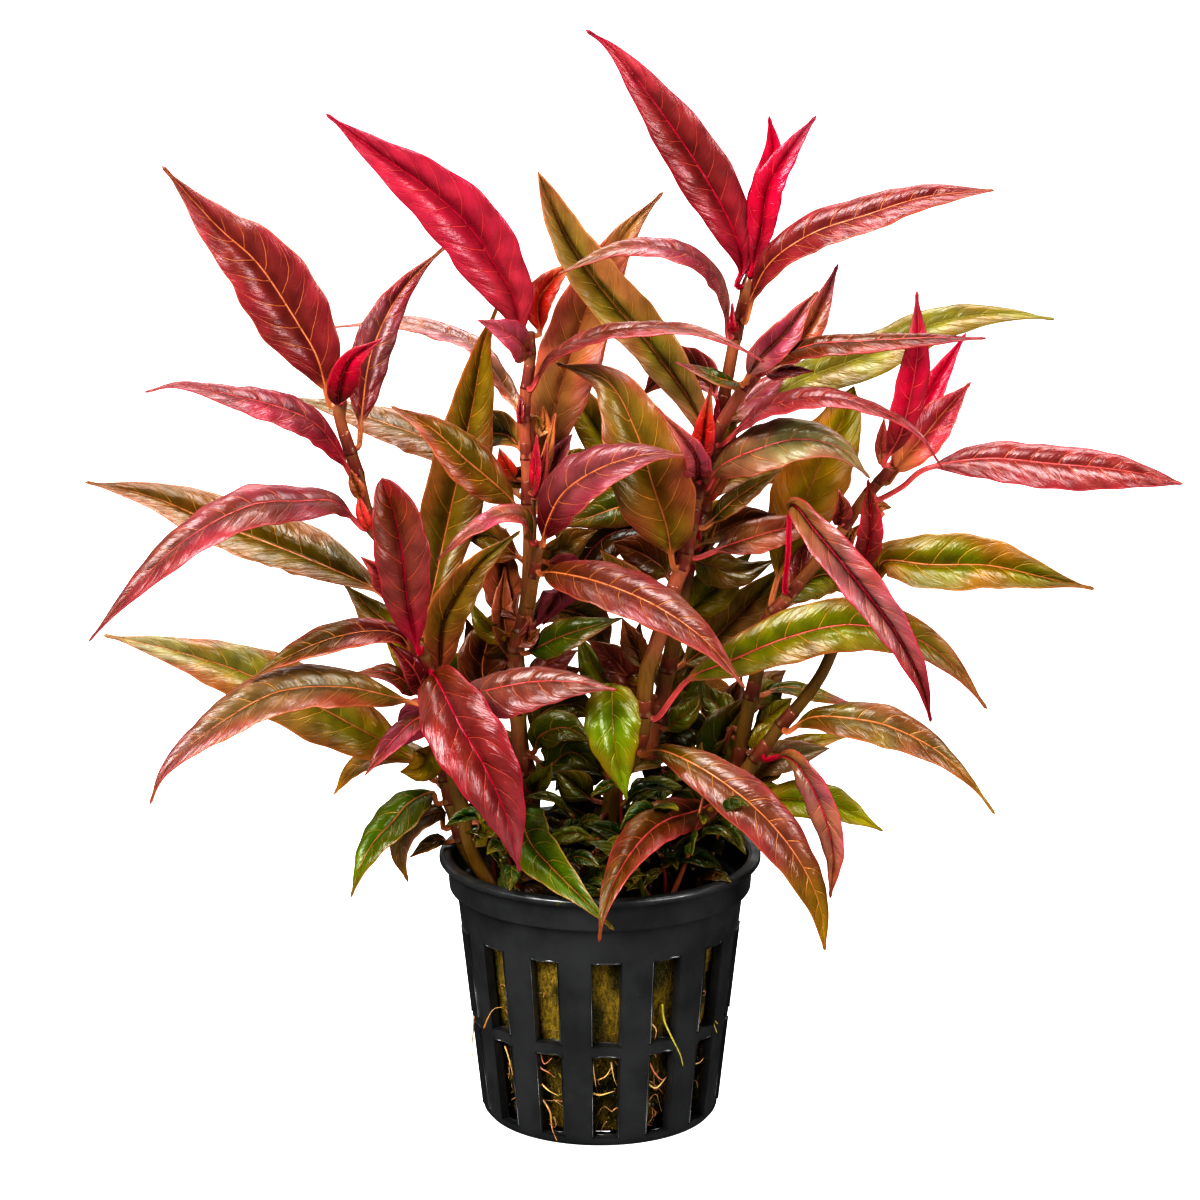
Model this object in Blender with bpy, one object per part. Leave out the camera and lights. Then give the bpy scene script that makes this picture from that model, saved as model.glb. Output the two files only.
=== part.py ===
"""A potted star red persicaria: a slotted net pot, a wool plug, eight stems and their leaves.

The origin is the centre of the pot's bottom, +Z is up and -Y is the side that faces the viewer.
Places on the plant are sighted: a pixel of the 1200 x 1200 photograph and a depth in millimetres
behind the pot's axis give a point. Everything else is in millimetres, turned to metres by MM.
"""
from collections import namedtuple
from math import cos, pi, radians, sin

import bmesh
import bpy
from mathutils import Vector

MM = 0.001
GAP = 0.3  # left between pieces that touch

# The viewpoint of the photograph
MIDDLE_PX = 600.0
FOCAL_PX = 4333.0
EYE_MM = Vector((0.0, -707.0, 273.6))
PITCH = radians(14.5)

# The pot
SLOTS = 14
SLOT_ANGLE = radians(11.5)
FIRST_SLOT = radians(2.6)  # of a slot's middle, to the right of the front
RIM_RADIUS = 27.5
POT_HEIGHT = 46.5
WALL_ROWS = [  # outer radius and height, inner radius and height, from the bottom's middle to the rim
    ((8.0, 0.0), (8.0, 1.3)),
    ((16.0, 0.0), (16.0, 1.3)),
    ((19.3, 0.0), (18.1, 1.3)),
    ((20.2, 0.9), (18.9, 1.6)),
    ((20.35, 2.2), (19.2, 2.2)),
    ((21.95, 16.9), (20.8, 16.9)),
    ((22.2, 19.1), (21.05, 19.1)),
    ((23.85, 34.2), (22.7, 34.2)),
    ((24.5, 40.0), (23.35, 39.8)),
    ((25.8, 40.5), (24.6, 41.0)),
    ((26.1, 45.2), (24.9, 44.6)),
    ((RIM_RADIUS, 45.3), (25.1, 45.6)),
    ((RIM_RADIUS, 46.1), (25.3, 46.2)),
    ((27.1, POT_HEIGHT), (25.7, POT_HEIGHT)),
]
SLOT_BANDS = (0, 4, 6)  # the rows above which the wall is slotted: bottom, lower and upper slots

# The plug
PLUG_SIDES = 28
PLUG_WALL = [(17.6, 1.7), (18.8, 2.4), (20.45, 17.0), (22.35, 34.0), (22.9, 38.6)]
PLUG_TOP = [(21.0, 39.6), (14.0, 40.0), (7.0, 40.2)]
PLUG_CROWN = 40.1
PLUG_LUMP = 0.7
SOCKET_DEPTH = 5.0

# The stems and leaves
STEM_SIDES = 8
STEM_STEP = 9.0
JOINT_SWELL = 1.22  # how much thicker a stem is where a leaf grows
LEAF_STATIONS = (0.0, 0.06, 0.14, 0.25, 0.38, 0.52, 0.68, 0.84, 1.0)
SMALL_STATIONS = (0.0, 0.12, 0.32, 0.6, 1.0)
STALK_HALF = 0.5
WIDEST = 0.4  # where the blade is widest, from its base
ROUNDNESS = 0.9
BLADE_HALF = 0.42  # half the thickness at the midrib
TIP_HALF = 0.2

Stem = namedtuple("Stem", "root thick route")
Leaf = namedtuple("Leaf", "stem foot width left right stalk hue route")

# root is a place on the plug, or the stem and the pixel that a side shoot grows from.
# thick is the diameter at the root and at the tip. A route's points are pixel, pixel and depth.
STEMS = {
    "stem_a": Stem((-19.0, 3.0), (3.4, 2.0), [
        (467, 848, 3), (452, 800, 3), (443, 755, 4), (430, 700, 5), (415, 650, 5), (400, 605, 4),
        (385, 548, 3), (370, 523, 3), (357, 472, 2), (340, 418, 1), (345, 397, 0)]),
    "stem_b": Stem((-18.0, -3.0), (3.2, 2.0), [
        (474, 855, -3), (463, 812, -4), (450, 760, -6), (436, 705, -9), (431, 677, -10), (423, 652, -12), (420, 641, -13)]),
    "stem_c": Stem((-11.0, 6.0), (3.8, 2.0), [
        (532, 815, 7), (527, 772, 7), (520, 740, 7), (516, 655, 5), (523, 625, 5), (528, 592, 4),
        (530, 535, 3), (528, 496, 3), (527, 456, 3), (524, 413, 3), (530, 360, 3), (529, 332, 3)]),
    "stem_d": Stem(("stem_c", (529, 594)), (2.2, 1.6), [(535, 572, -2), (538, 553, -4), (540, 536, -5)]),
    "stem_e": Stem((10.5, 11.5), (3.8, 2.2), [
        (657, 800, 12), (650, 751, 12), (658, 718, 12), (672, 650, 12), (690, 560, 12), (704, 508, 12),
        (713, 455, 12), (722, 408, 11), (732, 354, 10), (736, 335, 10), (745, 297, 9), (751, 272, 9)]),
    "stem_f": Stem((0.5, 2.0), (4.2, 2.2), [
        (612, 805, 1), (619, 780, 0), (638, 742, -1), (644, 709, -1), (647, 673, -1), (655, 650, -1),
        (674, 589, 0), (685, 556, 0), (697, 494, 0), (709, 459, 0), (722, 424, 0), (740, 394, 0),
        (752, 379, 0), (762, 367, 0)]),
    "stem_g": Stem((15.5, 0.5), (3.2, 1.8), [
        (718, 822, 1), (740, 782, 1), (759, 755, 0), (780, 727, -1), (802, 702, -2), (820, 677, -3),
        (832, 652, -3), (852, 603, -3), (870, 570, -3)]),
    "stem_h": Stem((15.5, 8.0), (3.2, 1.8), [
        (715, 808, 8), (735, 775, 7), (746, 720, 6), (757, 672, 5), (767, 622, 4), (785, 600, 3),
        (815, 565, 2), (844, 528, 0), (862, 501, -1), (879, 482, -2), (892, 466, -3)]),
}

# stem and foot say where a leaf grows, width and stalk are in millimetres. left and right are the
# angles by which the two halves of the blade, looking from foot to tip, are turned from facing the
# viewer: above nought the edge comes nearer, below nought it goes away.
LEAVES = {
    "leaf_a1": Leaf("stem_a", (340, 408), 12.6, 8, 8, 4, "bronze", [
        (322, 358, 0), (299, 328, 0), (257, 266, -1), (216, 225, 0), (159, 166, 2)]),
    "leaf_a2": Leaf("stem_a", (352, 448), 6.4, 10, -20, 5, "bronze", [
        (361, 420, 4), (366, 365, 7), (377, 328, 9), (394, 298, 11), (416, 270, 13), (447, 243, 17)]),
    "leaf_a4": Leaf("stem_a", (354, 472), 8.0, 50, -60, 4, "crimson", [
        (335, 453, -3), (310, 431, -7), (278, 412, -11), (232, 396, -15), (180, 384, -18),
        (146, 392, -20)]),
    "leaf_a6": Leaf("stem_a", (372, 523), 11.0, 56, -55, 5, "bronze", [
        (335, 502, -3), (300, 496, -7), (247, 505, -12), (185, 545, -16), (130, 595, -18),
        (88, 640, -19)]),
    "leaf_a8": Leaf("stem_a", (400, 607), 12.0, 54, -12, 5, "olive", [
        (385, 598, 5), (357, 584, 8), (279, 547, 14), (215, 517, 17), (155, 492, 19), (91, 483, 20)]),
    "leaf_b1": Leaf("stem_b", (421, 644), 8.6, 22, 22, 3, "crimson", [
        (412, 625, -17), (407, 600, -19), (404, 570, -20), (400, 543, -20), (394, 512, -20),
        (383, 481, -20)]),
    "leaf_b2": Leaf("stem_b", (430, 668), 12.6, 18, 14, 3, "magenta", [
        (437, 680, -18), (450, 706, -22), (463, 731, -25), (485, 768, -28), (507, 818, -29), (520, 873, -29)]),
    "leaf_b3": Leaf("stem_b", (424, 655), 8.6, 66, -55, 4, "bronze", [
        (400, 637, -14), (372, 632, -16), (326, 638, -18), (279, 661, -21), (250, 679, -22)]),
    "leaf_b4": Leaf("stem_b", (434, 700), 11.4, 56, -50, 5, "olive", [
        (397, 700, -13), (341, 688, -18), (272, 694, -23), (198, 734, -27), (163, 771, -29),
        (149, 803, -30)]),
    "leaf_b5": Leaf("stem_a", (446, 776), 12.0, 42, -42, 6, "olive", [
        (413, 759, 5), (357, 728, 2), (300, 697, 0), (235, 671, -2), (165, 651, -4), (104, 636, -6)]),
    "leaf_b9": Leaf("stem_a", (448, 790), 7.6, 64, -50, 5, "green", [
        (419, 764, 12), (391, 757, 15), (357, 770, 18), (334, 793, 19)]),
    "leaf_b10": Leaf("stem_a", (451, 802), 8.4, 54, -46, 4, "green", [
        (432, 799, 3), (412, 806, -2), (393, 820, -5), (373, 842, -8), (359, 866, -10), (352, 893, -11)]),
    "leaf_c1": Leaf("stem_c", (529, 343), 11.8, 10, 8, 4, "magenta", [
        (514, 300, 0), (494, 268, -1), (466, 229, -2), (425, 192, -3), (375, 155, -3), (327, 115, -2)]),
    "leaf_c4": Leaf("stem_a", (412, 640), 10.6, 8, 8, 5, "olive", [
        (434, 585, 8), (444, 538, 11), (457, 470, 12), (472, 397, 12), (483, 346, 11), (497, 308, 9)]),
    "leaf_c5": Leaf("stem_c", (525, 420), 7.2, 66, -66, 5, "olive", [
        (512, 398, 14), (480, 352, 19), (451, 334, 22), (400, 323, 26), (334, 326, 30)]),
    "leaf_c6": Leaf("stem_c", (528, 502), 9.6, 52, -60, 5, "olive", [
        (500, 482, 15), (435, 446, 23), (380, 422, 28), (330, 406, 31), (291, 398, 33)]),
    "leaf_c7": Leaf("stem_c", (527, 512), 9.4, 38, -38, 4, "olive", [
        (505, 494, -1), (463, 458, -4), (430, 428, -5), (391, 406, -5)]),
    "leaf_c8": Leaf("stem_c", (527, 388), 8.0, -76, 74, 5, "crimson", [
        (551, 358, -4), (595, 336, -8), (639, 329, -11), (690, 331, -13), (732, 344, -14), (764, 362, -14)]),
    "leaf_c10": Leaf("stem_f", (703, 474), 10.8, 32, 24, 5, "olive", [
        (697, 424, 3), (655, 353, 5), (608, 295, 5), (570, 240, 4), (539, 172, 3)]),
    "leaf_c11": Leaf("stem_c", (528, 496), 11.0, 24, 24, 5, "olive", [
        (543, 455, 8), (560, 390, 10), (590, 300, 12), (624, 240, 12), (662, 193, 12)]),
    "leaf_c12": Leaf("stem_f", (682, 566), 13.4, 12, 14, 5, "bronze", [
        (666, 528, -6), (652, 485, -8), (637, 432, -7), (608, 382, -5), (556, 363, -1)]),
    "leaf_c13": Leaf("stem_f", (686, 552), 9.0, 14, 14, 5, "olive", [
        (654, 524, 11), (603, 437, 15), (567, 385, 18), (538, 352, 20)]),
    "leaf_d1": Leaf("stem_d", (540, 540), 10.4, -35, 35, 3, "crimson", [
        (548, 522, -9), (565, 492, -12), (600, 469, -15), (645, 455, -17), (685, 456, -18)]),
    "leaf_d4": Leaf("stem_a", (430, 698), 8.0, 34, 28, 6, "green", [
        (440, 662, 2), (443, 625, 0), (456, 597, -1), (480, 563, -2), (520, 531, -4)]),
    "leaf_g1": Leaf("stem_d", (536, 566), 9.4, -30, 30, 3, "crimson", [
        (555, 573, -9), (600, 583, -16), (655, 606, -22), (705, 641, -26), (745, 688, -28)]),
    "leaf_g5": Leaf("stem_b", (436, 708), 10.6, -55, 10, 4, "bronze", [
        (462, 697, -12), (490, 690, -17), (535, 682, -20), (580, 683, -23), (617, 690, -25)]),
    "leaf_e1": Leaf("stem_e", (748, 286), 10.6, 6, 14, 3, "crimson", [
        (742, 262, 8), (725, 222, 7), (690, 160, 6), (645, 85, 4), (615, 48, 3), (588, 31, 2)]),
    "leaf_e2": Leaf("stem_e", (752, 272), 5.6, 20, 30, 3, "magenta", [
        (761, 235, 6), (772, 190, 5), (790, 153, 5), (814, 119, 4)]),
    "leaf_e4": Leaf("stem_e", (740, 318), 9.4, -44, 52, 5, "crimson", [
        (754, 290, 6), (775, 261, 3), (814, 231, 1), (865, 212, -1), (925, 202, -2), (992, 190, -3)]),
    "leaf_e5": Leaf("stem_e", (736, 336), 7.2, 66, -64, 4, "crimson", [
        (727, 300, 5), (712, 275, 0), (690, 257, -4), (660, 247, -7), (615, 250, -9), (557, 275, -12)]),
    "leaf_f2": Leaf("stem_f", (750, 382), 6.6, 30, 30, 3, "crimson", [
        (759, 360, -4), (783, 331, -6), (804, 307, -6), (818, 291, -6)]),
    "leaf_f3": Leaf("stem_f", (758, 372), 7.6, -70, 60, 4, "crimson", [
        (780, 358, -5), (815, 345, -9), (860, 341, -12), (920, 339, -14), (986, 338, -15)]),
    "leaf_f7": Leaf("stem_f", (716, 440), 7.4, -65, 65, 5, "magenta", [
        (745, 424, -6), (772, 406, -11), (825, 398, -16), (880, 412, -19), (918, 434, -20), (943, 469, -20)]),
    "leaf_f8": Leaf("stem_e", (719, 425), 10.0, -45, 52, 6, "green", [
        (745, 416, 14), (803, 381, 15), (866, 351, 16), (937, 321, 17), (1000, 314, 17),
        (1053, 318, 17)]),
    "leaf_f9": Leaf("stem_f", (700, 486), 10.0, -40, 40, 4, "olive", [
        (722, 466, -4), (760, 449, -7), (800, 440, -9), (840, 449, -11), (870, 478, -12)]),
    "leaf_f11": Leaf("stem_h", (777, 612), 11.4, 10, 18, 6, "olive", [
        (785, 560, 9), (800, 517, 12), (821, 465, 14), (840, 425, 15), (854, 388, 16)]),
    "leaf_g6": Leaf("stem_f", (645, 703), 8.4, 20, 16, 3, "green", [
        (634, 694, -9), (621, 706, -15), (619, 744, -18), (627, 800, -19)]),
    "leaf_g7": Leaf("stem_f", (638, 745), 8.6, -50, 22, 5, "crimson", [
        (663, 751, -9), (710, 774, -15), (760, 813, -19), (796, 859, -20), (817, 906, -19),
        (825, 951, -18)]),
    "leaf_g8": Leaf("stem_c", (530, 800), 8.6, 18, 16, 4, "green", [
        (522, 815, -8), (530, 842, -16), (552, 868, -23), (585, 901, -30), (614, 930, -33)]),
    "leaf_g9": Leaf("stem_g", (733, 795), 8.6, 38, -26, 5, "bronze", [
        (700, 810, -10), (664, 822, -17), (638, 845, -24), (616, 879, -30), (603, 915, -34),
        (599, 942, -35)]),
    "leaf_g13": Leaf("stem_f", (645, 712), 9.6, -22, 32, 11, "green", [
        (690, 683, -5), (730, 659, -7), (787, 639, -9), (850, 627, -10), (915, 635, -11), (955, 668, -11),
        (987, 709, -10)]),
    "leaf_h1": Leaf("stem_h", (872, 492), 9.6, -44, 26, 13, "crimson", [
        (900, 483, -4), (928, 467, -6), (987, 461, -8), (1050, 464, -10), (1122, 475, -12),
        (1182, 485, -12)]),
    "leaf_h2": Leaf("stem_h", (880, 481), 7.4, 20, 20, 4, "crimson", [
        (905, 455, -3), (924, 434, -2), (944, 414, 0), (970, 383, 2)]),
    "leaf_h4": Leaf("stem_h", (892, 466), 6.8, 30, -38, 3, "magenta", [
        (899, 436, -6), (909, 400, -8), (915, 350, -9), (917, 291, -9)]),
    "leaf_h9": Leaf("stem_h", (790, 592), 8.0, 36, 38, 17, "crimson", [
        (790, 555, -4), (793, 520, -9), (799, 508, -12), (813, 528, -16), (850, 573, -20),
        (893, 629, -22), (920, 680, -22), (931, 722, -20)]),
    "leaf_h10": Leaf("stem_g", (868, 574), 10.4, -18, 28, 1, "olive", [
        (886, 565, -3), (930, 561, -5), (990, 562, -6), (1050, 576, -6), (1098, 589, -6)]),
    "leaf_i1": Leaf("stem_g", (783, 723), 8.2, -46, 44, 4, "green", [
        (812, 722, -6), (850, 718, -9), (890, 724, -10), (935, 746, -11), (970, 779, -11),
        (993, 812, -10)]),
    "leaf_i3": Leaf("stem_g", (762, 752), 6.6, 52, -52, 5, "crimson", [
        (785, 755, -6), (803, 766, -10), (822, 806, -12), (835, 853, -11), (830, 897, -9)]),
    "leaf_i4": Leaf("stem_g", (738, 790), 7.6, -40, 54, 4, "green", [
        (760, 799, 3), (795, 799, 4), (835, 806, 4), (882, 831, 3)]),
}

# Young, small and far leaves. They are one solid with the stem that they grow from.
SMALL_LEAVES = {
    "leaf_a3": Leaf("stem_a", (345, 399), 6.0, 40, 20, 1, "magenta", [(341, 380, -5), (352, 358, -9), (382, 339, -12)]),
    "leaf_b13": Leaf("stem_a", (414, 648), 7.0, 40, -40, 3, "green", [(397, 631, 11), (372, 611, 15), (343, 583, 18)]),
    "leaf_b14": Leaf("stem_a", (396, 594), 4.5, 30, 30, 2, "crimson", [(380, 574, -1), (361, 557, -3)]),
    "leaf_b6": Leaf("stem_b", (433, 692), 4.8, 30, -30, 2, "crimson", [(413, 669, -14), (388, 642, -16)]),
    "leaf_b7": Leaf("stem_b", (434, 712), 6.6, 50, -50, 3, "crimson", [(413, 722, -13), (388, 747, -18), (365, 775, -21)]),
    "leaf_b8": Leaf("stem_a", (425, 684), 6.0, 50, -50, 2, "crimson", [(391, 672, -1), (353, 673, -4)]),
    "leaf_b11": Leaf("stem_a", (458, 824), 5.6, 40, -40, 3, "olive", [(440, 815, 3), (412, 826, 0), (397, 852, -2), (408, 880, -2)]),
    "leaf_b12": Leaf("stem_a", (464, 834), 4.0, 50, -50, 2, "green", [(435, 838, 2), (410, 857, 0)]),
    "leaf_c2": Leaf("stem_c", (529, 336), 5.0, 20, 20, 2, "magenta", [(538, 303, 4), (550, 280, 5), (575, 261, 4)]),
    "leaf_c3": Leaf("stem_c", (530, 350), 6.4, 45, -45, 1, "crimson", [(512, 338, -8), (478, 320, -13)]),
    "leaf_d2": Leaf("stem_d", (539, 540), 7.2, 62, -60, 2, "olive", [(524, 520, -9), (500, 516, -12), (465, 535, -14), (435, 562, -16)]),
    "leaf_g2": Leaf("stem_c", (518, 648), 7.0, -40, 40, 3, "green", [(564, 636, -3), (622, 618, -6)]),
    "leaf_g3": Leaf("stem_c", (517, 705), 7.4, 20, 20, 4, "olive", [(482, 672, 12), (497, 610, 14)]),
    "leaf_g4": Leaf("stem_c", (516, 660), 4.6, 20, 20, 2, "bronze", [(503, 610, 10), (505, 566, 11)]),
    "leaf_e3": Leaf("stem_e", (751, 274), 5.8, 25, 15, 2, "magenta", [
        (760, 225, 11), (767, 183, 12), (772, 150, 12), (768, 118, 11)]),
    "leaf_f1": Leaf("stem_f", (758, 371), 5.4, 30, 20, 2, "bronze", [(788, 352, 4), (813, 321, 6), (836, 263, 7)]),
    "leaf_f4": Leaf("stem_f", (762, 367), 4.0, -50, 50, 1, "crimson", [(788, 372, -3), (814, 371, -5)]),
    "leaf_f5": Leaf("stem_f", (745, 386), 5.6, 60, -60, 2, "green", [(718, 380, -7), (675, 362, -9)]),
    "leaf_f6": Leaf("stem_f", (708, 462), 4.4, 30, 30, 1, "crimson", [(706, 418, -6), (711, 386, -7)]),
    "leaf_f10": Leaf("stem_f", (692, 522), 5.0, -40, 40, 3, "olive", [(735, 500, 1), (784, 468, 3)]),
    "leaf_f12": Leaf("stem_f", (685, 556), 7.6, -40, 40, 5, "olive", [(731, 545, 3), (780, 530, 5), (828, 522, 6)]),
    "leaf_f13": Leaf("stem_f", (697, 494), 8.4, -20, -20, 3, "olive", [(630, 503, 6), (560, 528, 9)]),
    "leaf_f14": Leaf("stem_e", (698, 533), 8.0, 20, -40, 4, "bronze", [(650, 528, 12), (600, 542, 12), (543, 625, 10)]),
    "leaf_f15": Leaf("stem_f", (670, 603), 6.0, 20, 20, 3, "green", [(632, 585, 4), (600, 550, 5)]),
    "leaf_f16": Leaf("stem_f", (702, 478), 5.4, 30, 30, 3, "crimson", [
        (696, 458, -13), (685, 438, -16), (656, 405, -17)]),
    "leaf_g10": Leaf("stem_h", (738, 765), 7.0, 20, 20, 3, "olive", [(724, 735, 14), (757, 690, 17)]),
    "leaf_g11": Leaf("stem_e", (676, 632), 8.0, 16, 16, 3, "green", [(691, 610, 15), (716, 587, 16), (752, 552, 17)]),
    "leaf_g12": Leaf("stem_e", (668, 670), 9.0, 20, 20, 4, "green", [(700, 652, 20), (747, 606, 24), (788, 562, 26)]),
    "leaf_h3": Leaf("stem_h", (889, 470), 5.8, 20, 20, 3, "crimson", [
        (913, 425, 8), (934, 385, 12), (966, 333, 13)]),
    "leaf_h7": Leaf("stem_h", (846, 525), 3.8, 30, 30, 1, "crimson", [(842, 508, -3), (838, 490, -4)]),
    "leaf_h11": Leaf("stem_g", (870, 571), 4.8, 25, 25, 1, "magenta", [(870, 530, -7), (868, 480, -8)]),
    "leaf_i2": Leaf("stem_g", (757, 757), 5.4, -50, 50, 3, "green", [(800, 744, 8), (852, 735, 11)]),
    "leaf_i5": Leaf("stem_h", (751, 698), 5.6, -60, 50, 3, "green", [(790, 688, 10), (853, 705, 13)]),
    "leaf_k1": Leaf("stem_a", (388, 560), 9.0, -50, 50, 5, "olive", [(400, 540, 16), (410, 534, 30), (416, 556, 43)]),
    "leaf_k2": Leaf("stem_c", (527, 456), 9.4, 30, 30, 5, "olive", [(508, 436, 18), (486, 436, 34), (470, 462, 46)]),
    "leaf_k3": Leaf("stem_c", (528, 520), 9.4, 30, 30, 5, "green", [(550, 492, 20), (585, 468, 34), (602, 486, 46)]),
    "leaf_k4": Leaf("stem_e", (722, 408), 9.6, 30, 30, 5, "bronze", [(706, 376, 26), (672, 368, 38), (640, 398, 49)]),
    "leaf_k5": Leaf("stem_e", (704, 508), 9.6, 30, 30, 5, "olive", [(732, 476, 26), (780, 460, 38), (828, 480, 48)]),
    "leaf_k6": Leaf("stem_h", (767, 622), 8.8, 30, 30, 4, "green", [(792, 590, 18), (830, 574, 30), (862, 600, 40)]),
    "leaf_k7": Leaf("stem_a", (432, 708), 9.0, 30, 30, 4, "green", [(448, 684, 20), (478, 676, 32), (505, 700, 43)]),
    "leaf_k8": Leaf("stem_e", (658, 718), 9.0, 30, 30, 4, "olive", [(684, 694, 26), (716, 702, 38), (742, 742, 47)]),
    "leaf_k9": Leaf("stem_c", (521, 632), 9.0, 30, 30, 4, "olive", [(552, 610, 20), (592, 622, 34), (608, 668, 44)]),
    "leaf_k10": Leaf("stem_c", (527, 772), 8.6, 30, 30, 4, "green", [(510, 752, 22), (484, 758, 34), (472, 798, 42)]),
    "leaf_k11": Leaf("stem_e", (652, 768), 8.6, 30, 30, 4, "green", [(662, 744, 26), (678, 750, 37), (690, 782, 45)]),
}

# Base colour, roughness
HUES = {
    "magenta": ((0.52, 0.02, 0.09), 0.35),
    "crimson": ((0.33, 0.035, 0.05), 0.35),
    "bronze": ((0.22, 0.05, 0.03), 0.35),
    "olive": ((0.16, 0.13, 0.02), 0.35),
    "green": ((0.10, 0.19, 0.02), 0.35),
}


def sighted(px, py, depth):
    """The point, depth millimetres behind the pot's axis, that the viewer sees at a pixel."""
    right = (px - MIDDLE_PX) / FOCAL_PX
    up = (MIDDLE_PX - py) / FOCAL_PX
    ray = Vector((right, cos(PITCH) + up * sin(PITCH), up * cos(PITCH) - sin(PITCH)))
    return EYE_MM + ray * ((depth - EYE_MM.y) / ray.y)


def pixel_of(point):
    """The pixel where the viewer sees a point, the reverse of sighted."""
    away = point - EYE_MM
    ahead = away.y * cos(PITCH) - away.z * sin(PITCH)
    above = away.y * sin(PITCH) + away.z * cos(PITCH)
    return MIDDLE_PX + FOCAL_PX * away.x / ahead, MIDDLE_PX - FOCAL_PX * above / ahead


def smooth(points, per_span=8):
    """Points along a smooth curve through the given ones (Catmull-Rom)."""
    ends = [2 * points[0] - points[1], *points, 2 * points[-1] - points[-2]]
    line = []
    for a, b, c, d in zip(ends, ends[1:], ends[2:], ends[3:]):
        for step in range(per_span):
            t = step / per_span
            line.append(0.5 * (2 * b + (c - a) * t + (2 * a - 5 * b + 4 * c - d) * t ** 2
                               + (3 * b - a - 3 * c + d) * t ** 3))
    return line + [points[-1]]


def lengths_along(line):
    """The distance of each point of a line from its start."""
    total = [0.0]
    for a, b in zip(line, line[1:]):
        total.append(total[-1] + (b - a).length)
    return total


def at_length(line, lengths, wanted):
    """The point at a distance along a line."""
    for i in range(1, len(line)):
        if lengths[i] >= wanted or i == len(line) - 1:
            share = (wanted - lengths[i - 1]) / (lengths[i] - lengths[i - 1])
            return line[i - 1].lerp(line[i], min(1.0, share))


def tangents(points):
    """The direction of a line at each of its points."""
    last = len(points) - 1
    return [(points[min(i + 1, last)] - points[max(i - 1, 0)]).normalized() for i in range(last + 1)]


def make_object(name, verts, faces, material):
    """A mesh object from millimetre points, with its faces pointing out."""
    mesh = bpy.data.meshes.new(name)
    mesh.from_pydata([tuple(v * MM) for v in verts], [], faces)
    shape = bmesh.new()
    shape.from_mesh(mesh)
    bmesh.ops.recalc_face_normals(shape, faces=shape.faces)
    shape.to_mesh(mesh)
    shape.free()
    mesh.shade_smooth()
    mesh.set_sharp_from_angle(angle=radians(35))
    mesh.materials.append(material)
    made = bpy.data.objects.new(name, mesh)
    bpy.context.scene.collection.objects.link(made)
    return made


def make_material(name, colour, roughness):
    material = bpy.data.materials.new(name)
    material.use_nodes = True
    shader = material.node_tree.nodes["Principled BSDF"]
    shader.inputs["Base Color"].default_value = (*colour, 1.0)
    shader.inputs["Roughness"].default_value = roughness
    return material


def boolean(target, helper, operation):
    """Joins a helper to a piece, or cuts it away, and hides the helper."""
    modifier = target.modifiers.new(helper.name, "BOOLEAN")
    modifier.operation = operation
    modifier.solver = "EXACT"
    modifier.object = helper
    helper.hide_render = True
    helper.display_type = "WIRE"


def on_circle(radius, height, angle):
    """A point on a ring, its angle counted from the front to the right."""
    return Vector((radius * sin(angle), -radius * cos(angle), height))


def pot(material):
    """The slotted pot, as an outer and an inner sheet that meet at the rim and round each slot."""
    pitch = 2 * pi / SLOTS
    angles = []
    for k in range(SLOTS):
        middle = FIRST_SLOT + k * pitch
        angles += [middle - SLOT_ANGLE / 2, middle + SLOT_ANGLE / 2, middle + pitch / 2]
    columns = len(angles)
    rows = len(WALL_ROWS)
    verts = [on_circle(*ring, angle) for sheet in (0, 1) for ring in [row[sheet] for row in WALL_ROWS]
             for angle in angles]
    faces = []

    def corner(sheet, row, column):
        return (sheet * rows + row) * columns + column % columns

    def is_slot(row, column):
        return row in SLOT_BANDS and column % 3 == 0

    for column in range(columns):
        for row in range(rows - 1):
            if is_slot(row, column):
                cell = [(row, column), (row, column + 1), (row + 1, column + 1), (row + 1, column)]
                for (r0, c0), (r1, c1) in zip(cell, cell[1:] + cell[:1]):
                    faces.append((corner(0, r0, c0), corner(0, r1, c1), corner(1, r1, c1), corner(1, r0, c0)))
                continue
            for sheet in (0, 1):
                faces.append((corner(sheet, row, column), corner(sheet, row, column + 1),
                              corner(sheet, row + 1, column + 1), corner(sheet, row + 1, column)))
        top = rows - 1
        faces.append((corner(0, top, column), corner(0, top, column + 1),
                      corner(1, top, column + 1), corner(1, top, column)))
    for sheet in (0, 1):
        middle = len(verts)
        verts.append(Vector((0.0, 0.0, WALL_ROWS[0][sheet][1])))
        faces += [(middle, corner(sheet, 0, column), corner(sheet, 0, column + 1)) for column in range(columns)]
    return make_object("pot", verts, faces, material)


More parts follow.
